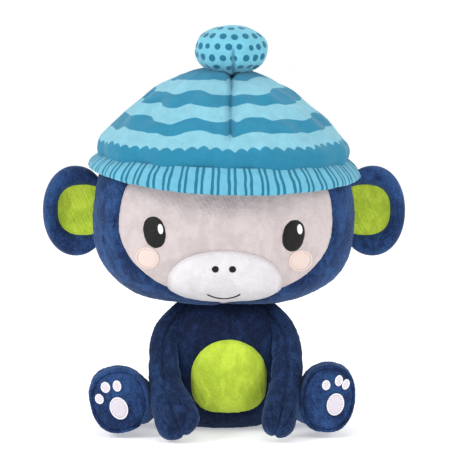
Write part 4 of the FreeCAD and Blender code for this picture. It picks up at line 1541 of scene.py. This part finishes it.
@dataclass(frozen=True)
class Arm:
    """Long soft arm that hangs in front of the body and rests its hand on the ground."""

    finishes: Finishes
    side: Side
    fabric: float = 1.0 * MM

    def tube(self) -> Tube:
        """The arm's line and half widths, which differ a little between the sides."""
        if self.side is Side.LEFT:
            rows = [
                (20, -4, 93, 3, 3), (26.5, -9, 86, 5.4, 6.5), (33.0, -14, 79.5, 6.8, 8.0),
                (39.5, -20, 72, 8.4, 8.8), (43.2, -28, 63, 9.4, 9.2),
                (44.2, -41, 47, 10.0, 9.6), (42.0, -52, 32, 10.0, 9.4),
                (38.0, -65, 18, 11.2, 10.2), (36.4, -75, 11.5, 11.4, 9.6), (35.6, -84, 8.5, 8.0, 7.5),
            ]
        else:
            rows = [
                (-20, -4, 93, 3, 3), (-26.5, -9, 86, 5.4, 6.5), (-32.6, -14, 79.5, 6.6, 8.0),
                (-38.8, -20, 72, 7.8, 8.6), (-42.2, -28, 63, 8.8, 9.0),
                (-42.2, -41, 47, 10.2, 9.8), (-39.8, -52, 32, 11.2, 9.6),
                (-33.6, -65, 18, 14.6, 10.2), (-30.6, -75, 11.5, 15.2, 9.6), (-29.0, -84, 8.5, 11.5, 7.5),
            ]
        return Tube(np.array(rows) * MM)

    def build(self) -> None:
        """Make the outer and inner halves and the stitches that part the fingers."""
        for half, start in (("outer", 0.0), ("inner", math.pi)):
            self.half(half, start if self.side is Side.LEFT else start + math.pi)
        self.fingers()

    def surface(self, turn: np.ndarray, share: np.ndarray) -> np.ndarray:
        """Places of the arm's cover, with its seams, creases and fingers sunk in.

        Args:
            turn: grid of angles, 0 towards the front.
            share: grid of shares along the arm.

        Returns:
            The tube, closed by rounded ends, plus the reliefs along its outward direction.
        """
        tube = self.tube()
        places, out = tube.rings(turn)
        line = tube.path()[:, None, :3]
        cap = np.sqrt(np.clip(1 - (np.clip(share - 0.9, 0, 1) / 0.1) ** 2.4, 0, 1))
        cap *= np.sqrt(np.clip(1 - (np.clip(0.08 - share, 0, 1) / 0.08) ** 2, 0, 1))
        middle = line + (places - line) * cap[..., None]
        angle = np.abs((turn + math.pi / 2) % math.pi - math.pi / 2)
        width = np.linalg.norm(places - line, axis=-1)
        away = angle * width
        relief = groove(away, 2.0 * MM, 1.6 * MM) + 0.9 * MM * (1 - np.exp(-away / (5 * MM)))
        relief += groove(share - 0.62, 1.2 * MM, 0.022) * (0.5 + 0.5 * np.cos(turn + 0.4))
        relief += groove(share - 0.47, 0.7 * MM, 0.025) * (0.5 - 0.5 * np.sin(turn))
        at = (turn + math.pi) % (2 * math.pi) - math.pi
        hand = smooth(share, 0.78, 0.9)
        for spot in (-0.55, 0.05, 0.62):
            relief += groove((at - spot) * width, 1.8 * MM, 1.2 * MM) * hand
        cover = middle + out * ((relief + pile(middle)) * cap)[..., None]
        cover[..., 2] = np.maximum(cover[..., 2], 0.4 * MM)
        return cover

    def half(self, word: str, start: float) -> None:
        """Make one half of the cover between the front and back seams.

        Args:
            word: outer or inner.
            start: turn of its first edge; it spans half a circle.
        """
        share, turn = grid(110, 76, start, start + math.pi)
        places = self.surface(turn, share)
        inside = self.tube().path()[:, None, :3].repeat(76, 1)
        piece = mesh_from_grid(f"arm_{word}_plush_{self.side.word}", places, inside, cloth_lengths(places))
        x = self.side.value
        root = (x * 37 * MM, -11 * MM, 84 * MM), (x * 43 * MM, -21 * MM, 69 * MM)
        stands_for = [f"arm_{word}_panel_{self.side.word}"]
        stands_for += [f"arm_stuffing_{self.side.word}"] if word == "outer" else []
        bodies = ("torso", f"arm_{self.side.word}", *root)
        # the arms wear the navy plush with painted shade
        self.finishes.dress(piece, "navy_plush", bodies, tuple(stands_for), 0.85, self.fabric, "navy_shade_painted")

    def fingers(self) -> None:
        """Make the two pulled stitches that part the fingers, along the grooves' floors."""
        share, turn = np.meshgrid(np.linspace(0, 1, 110), [-0.55, 0.62], indexing="ij")
        lines = self.surface(turn, share)[[86, 89, 92, 95, 98]]
        lines[..., 1] -= 0.25 * MM
        starts, ends = lines[:-1].reshape(-1, 3), lines[1:].reshape(-1, 3)
        piece = threads(f"finger_threads_{self.side.word}", starts, ends, 0.4 * MM)
        nodes = (f"finger_stitches_{self.side.word}",)
        self.finishes.dress(piece, "navy_thread", f"arm_{self.side.word}", nodes)


@dataclass(frozen=True)
class Leg:
    """Short leg laid straight ahead, with the round sole facing forwards."""

    finishes: Finishes
    side: Side
    sole_y: float = -58 * MM
    fabric: float = 1.1 * MM

    def outline(self) -> Outline:
        """Outline of the sole."""
        if self.side is Side.LEFT:
            return Outline(71.8 * MM, 27.6 * MM, 18.9 * MM, 23.8 * MM, math.radians(-10), 2.3)
        return Outline(-72.4 * MM, 26.2 * MM, 20.4 * MM, 22.6 * MM, math.radians(14), 2.25)

    def sole_at(self, x: np.ndarray, z: np.ndarray) -> np.ndarray:
        """Y of the sole, which leans back towards the toes.

        Args:
            x: X of each place.
            z: Z of each place.

        Returns:
            The sole's Y, less 5.5 mm times the root of 1 - 0.8 share^2.2, plus a tenth of the
            height over 24 mm.
        """
        share = np.clip(self.outline().share(x, z), 0, 1.2)
        dome = 5.5 * MM * np.sqrt(np.clip(1 - 0.8 * share**2.2, 0, 1))
        return self.sole_y - dome + 0.10 * (z - 24 * MM)

    def build(self) -> None:
        """Make the cover, the sole and its pads."""
        self.cover()
        self.sole()
        self.pads()

    def cover(self) -> None:
        """Make the leg's tube from the hip to the sole's edge.

        Each ring goes from a round one of radius 15 mm at the hip to the sole's outline
        and then turns in to the seam.
        """
        share, turn = grid(90, 200)
        foot = self.outline()
        grown = smooth(share, 0.1, 0.72)
        end = np.clip((share - 0.8) / 0.2, 0, 1)
        reach = 1 - 0.16 * end**2.6
        x_foot, z_foot = foot.places(reach, turn)
        hip_x, hip_z = self.side.value * 60 * MM, 16.4 * MM
        close = np.sqrt(np.clip(1 - np.clip((0.1 - share) / 0.1, 0, 1) ** 2, 0, 1))
        x_hip, z_hip = hip_x + 15.5 * MM * np.cos(turn) * close, hip_z + 15.5 * MM * np.sin(turn) * close
        x, z = x_hip + (x_foot - x_hip) * grown, z_hip + (z_foot - z_hip) * grown
        y_end = self.sole_at(x_foot, z_foot) + 1.0 * MM
        y = 4 * MM + (y_end - 4 * MM) * np.minimum(share / 0.9, 1) ** 0.9
        places = np.stack([x, y, z], axis=-1)
        normal = normals_of(places, np.array([hip_x, -25 * MM, hip_z]))
        down = arc_lengths(places, 0)
        relief = pile(places) + groove(down[-1:] - down, 1.6 * MM, 1.6 * MM)
        relief += groove(share - 0.46, 0.8 * MM, 0.05) * (0.5 + 0.5 * np.sin(turn))
        places = places + normal * (relief * close)[..., None]
        places[..., 2] = np.maximum(places[..., 2], 0.4 * MM)
        cloth = np.stack([arc_lengths(places, 1), down], axis=-1)
        inside = np.array([self.side.value * 67 * MM, -25 * MM, 22 * MM])
        piece = mesh_from_grid(f"leg_plush_{self.side.word}", places, inside, cloth)
        root = (self.side.value * 52 * MM, 0.0, hip_z), (self.side.value * 62 * MM, -16 * MM, hip_z)
        nodes = (f"leg_cover_{self.side.word}", f"leg_stuffing_{self.side.word}")
        bodies = ("torso", f"leg_{self.side.word}", *root)
        self.finishes.dress(piece, "navy_plush", bodies, nodes, 0.85, self.fabric)

    def sole(self) -> None:
        """Make the sole: the domed disc inside the seam."""
        share, turn = grid(44, 200)
        x, z = self.outline().places(share * 0.85, turn)
        base = self.sole_at(x, z)
        places = np.stack([x, base, z], axis=-1)
        down = arc_lengths(places, 0)
        fuzz = pile(places) * np.clip((1 - share) / 0.1, 0, 1)
        places[..., 1] -= fuzz + groove(down[-1:] - down, 1.4 * MM, 1.6 * MM)
        inside = np.array([self.outline().x, self.sole_y + 20 * MM, self.outline().z])
        cloth = np.stack([arc_lengths(places, 1), down], axis=-1)
        piece = mesh_from_grid(f"sole_plush_{self.side.word}", places, inside, cloth)
        nodes = (f"foot_sole_{self.side.word}",)
        self.finishes.dress(piece, "navy_plush", f"leg_{self.side.word}", nodes, 0.85, self.fabric)

    def pads(self) -> None:
        """Make the stitched heel pad and toe pads with their borders."""
        if self.side is Side.LEFT:
            spots = [
                (76.8, 24.6, 5.4, 7.2, -14), (70.4, 37.8, 2.3, 2.9, -8),
                (79.2, 40.8, 2.2, 3.2, -14), (84.0, 38.2, 2.0, 3.1, -20),
            ]
        else:
            spots = [
                (-72.4, 21.9, 5.6, 7.4, 22), (-81.7, 36.2, 2.7, 3.2, 16),
                (-73.7, 37.2, 2.4, 3.3, 12), (-85.9, 28.2, 2.4, 3.0, 24),
            ]
        for number, (x, z, half_x, half_z, tilt) in enumerate(spots):
            spot = Outline(x * MM, z * MM, half_x * MM, half_z * MM, math.radians(tilt))
            word = "heel_pad" if number == 0 else f"toe_pad_{number}"
            rows = ridges(0.06 * MM, 0.6, 1.0 * MM)
            patch = RaisedPatch(spot, 0.8 * MM, 6.0)
            pad = patch.mesh(f"{word}_{self.side.word}_satin", self.sole_at, 22, 64, rows)
            nodes = {0: (f"heel_pad_{self.side.word}",), 1: (f"toe_pads_{self.side.word}",)}.get(number, ())
            self.finishes.dress(pad, "pad_thread", f"leg_{self.side.word}", nodes)
            raised = proud(self.sole_at, 0.45 * MM)
            border = piping(f"{word}_{self.side.word}_border", spot, raised, 0.55 * MM, 64)
            self.finishes.dress(border, "white_thread", f"leg_{self.side.word}")


# ---------------------------------------------------------------- studio


@dataclass(frozen=True)
class Studio:
    """Pale floor, soft light from all sides and a long lens in front of the toy."""

    aim: tuple[float, float, float] = (0.0007, 0.0, 0.1405)
    distance: float = 3.0
    rise: float = math.radians(8)
    wide: float = 0.315
    reach: float = 40.0
    glow_distances: tuple[float, float] = (0.5, 3.5)
    glow_strengths: tuple[float, float] = (0.42, 0.62)

    def build(self) -> None:
        """Make the floor, the world, the lamps and the camera."""
        self.floor()
        self.world()
        self.lamp("key", (-1.15, -0.75, 1.0), 0.7, 15.0)
        self.lamp("fill", (1.2, -0.7, 0.85), 0.8, 9.5)
        self.lamp("front", (0.0, -1.2, 1.4), 0.7, 4.0)
        self.lamp("top", (0.1, 0.35, 1.4), 0.7, 5.5)
        self.camera()

    def floor(self) -> None:
        """Make a wide flat pale floor, brighter far off, where the lamps no longer reach it."""
        line = np.linspace(-self.reach, self.reach, 3)
        across, along = np.meshgrid(line, line)
        points = np.stack([across, along, 0.0 * across], axis=-1)
        floor = mesh_from_grid("studio_floor", points, np.array([0.0, 0.0, -30.0]))
        material, tree = new_tree("matt_paper_white")
        settings = {
            "Base Color": linear("#f6f6f6"), "Roughness": 0.9, "Specular IOR Level": 0.1,
            "Emission Color": (1.0, 1.0, 1.0, 1.0),
        }
        shader = add_node(tree, "ShaderNodeBsdfPrincipled", settings)
        places = add_node(tree, "ShaderNodeTexCoord", {})
        place = {"Vector": places.outputs["Object"]}
        away = add_node(tree, "ShaderNodeVectorMath", {"operation": "LENGTH"}, place)
        near, far = self.glow_distances
        low, high = self.glow_strengths
        ramp = {"From Min": near, "From Max": far, "To Min": low, "To Max": high}
        glow = add_node(tree, "ShaderNodeMapRange", ramp, {"Value": away.outputs["Value"]})
        tree.links.new(glow.outputs["Result"], shader.inputs["Emission Strength"])
        add_node(tree, "ShaderNodeOutputMaterial", {}, {"Surface": shader.outputs[0]})
        floor.data.materials.append(material)

    def world(self) -> None:
        """Make an even white surrounding."""
        world = bpy.data.worlds.new("soft_white")
        world.use_nodes = True
        background = world.node_tree.nodes["Background"]
        background.inputs["Color"].default_value = (1.0, 1.0, 1.0, 1.0)
        background.inputs["Strength"].default_value = 0.42
        bpy.context.scene.world = world
        bpy.context.scene.view_settings.view_transform = "Standard"

    def lamp(self, name: str, place: tuple[float, float, float], size: float, power: float) -> None:
        """Hang one square lamp, turned to the toy.

        Args:
            name: name of the lamp.
            place: where it hangs.
            size: length of its side.
            power: its power in watts.
        """
        data = bpy.data.lights.new(name, "AREA")
        data.size = size
        data.energy = power
        lamp = bpy.data.objects.new(name, data)
        lamp.location = place
        away = np.array(place) - np.array(self.aim)
        lamp.rotation_euler = (math.acos(away[2] / np.linalg.norm(away)), 0.0, math.atan2(away[0], -away[1]))
        bpy.context.scene.collection.objects.link(lamp)

    def camera(self) -> None:
        """Place the camera in front, a little above, with the toy filling the frame."""
        data = bpy.data.cameras.new("front")
        data.lens = data.sensor_width * self.distance / self.wide
        data.clip_end = 50.0
        camera = bpy.data.objects.new("front", data)
        back, up = self.distance * math.cos(self.rise), self.distance * math.sin(self.rise)
        camera.location = (self.aim[0], self.aim[1] - back, self.aim[2] + up)
        camera.rotation_euler = (math.pi / 2 - self.rise, 0.0, 0.0)
        bpy.context.scene.collection.objects.link(camera)
        bpy.context.scene.camera = camera


def main() -> None:
    """Build the toy from the ground up, then the studio."""
    logging.basicConfig(level=logging.INFO, format="%(name)s %(message)s")
    finishes = Finishes.make()
    Torso(finishes).build()
    Neck(finishes).build()
    Head(finishes).build()
    for side in Side:
        Ear(finishes, side).build()
    Hat(finishes).build()
    for side in Side:
        Arm(finishes, side).build()
        Leg(finishes, side).build()
    Studio().build()


if __name__ == "__main__":
    main()
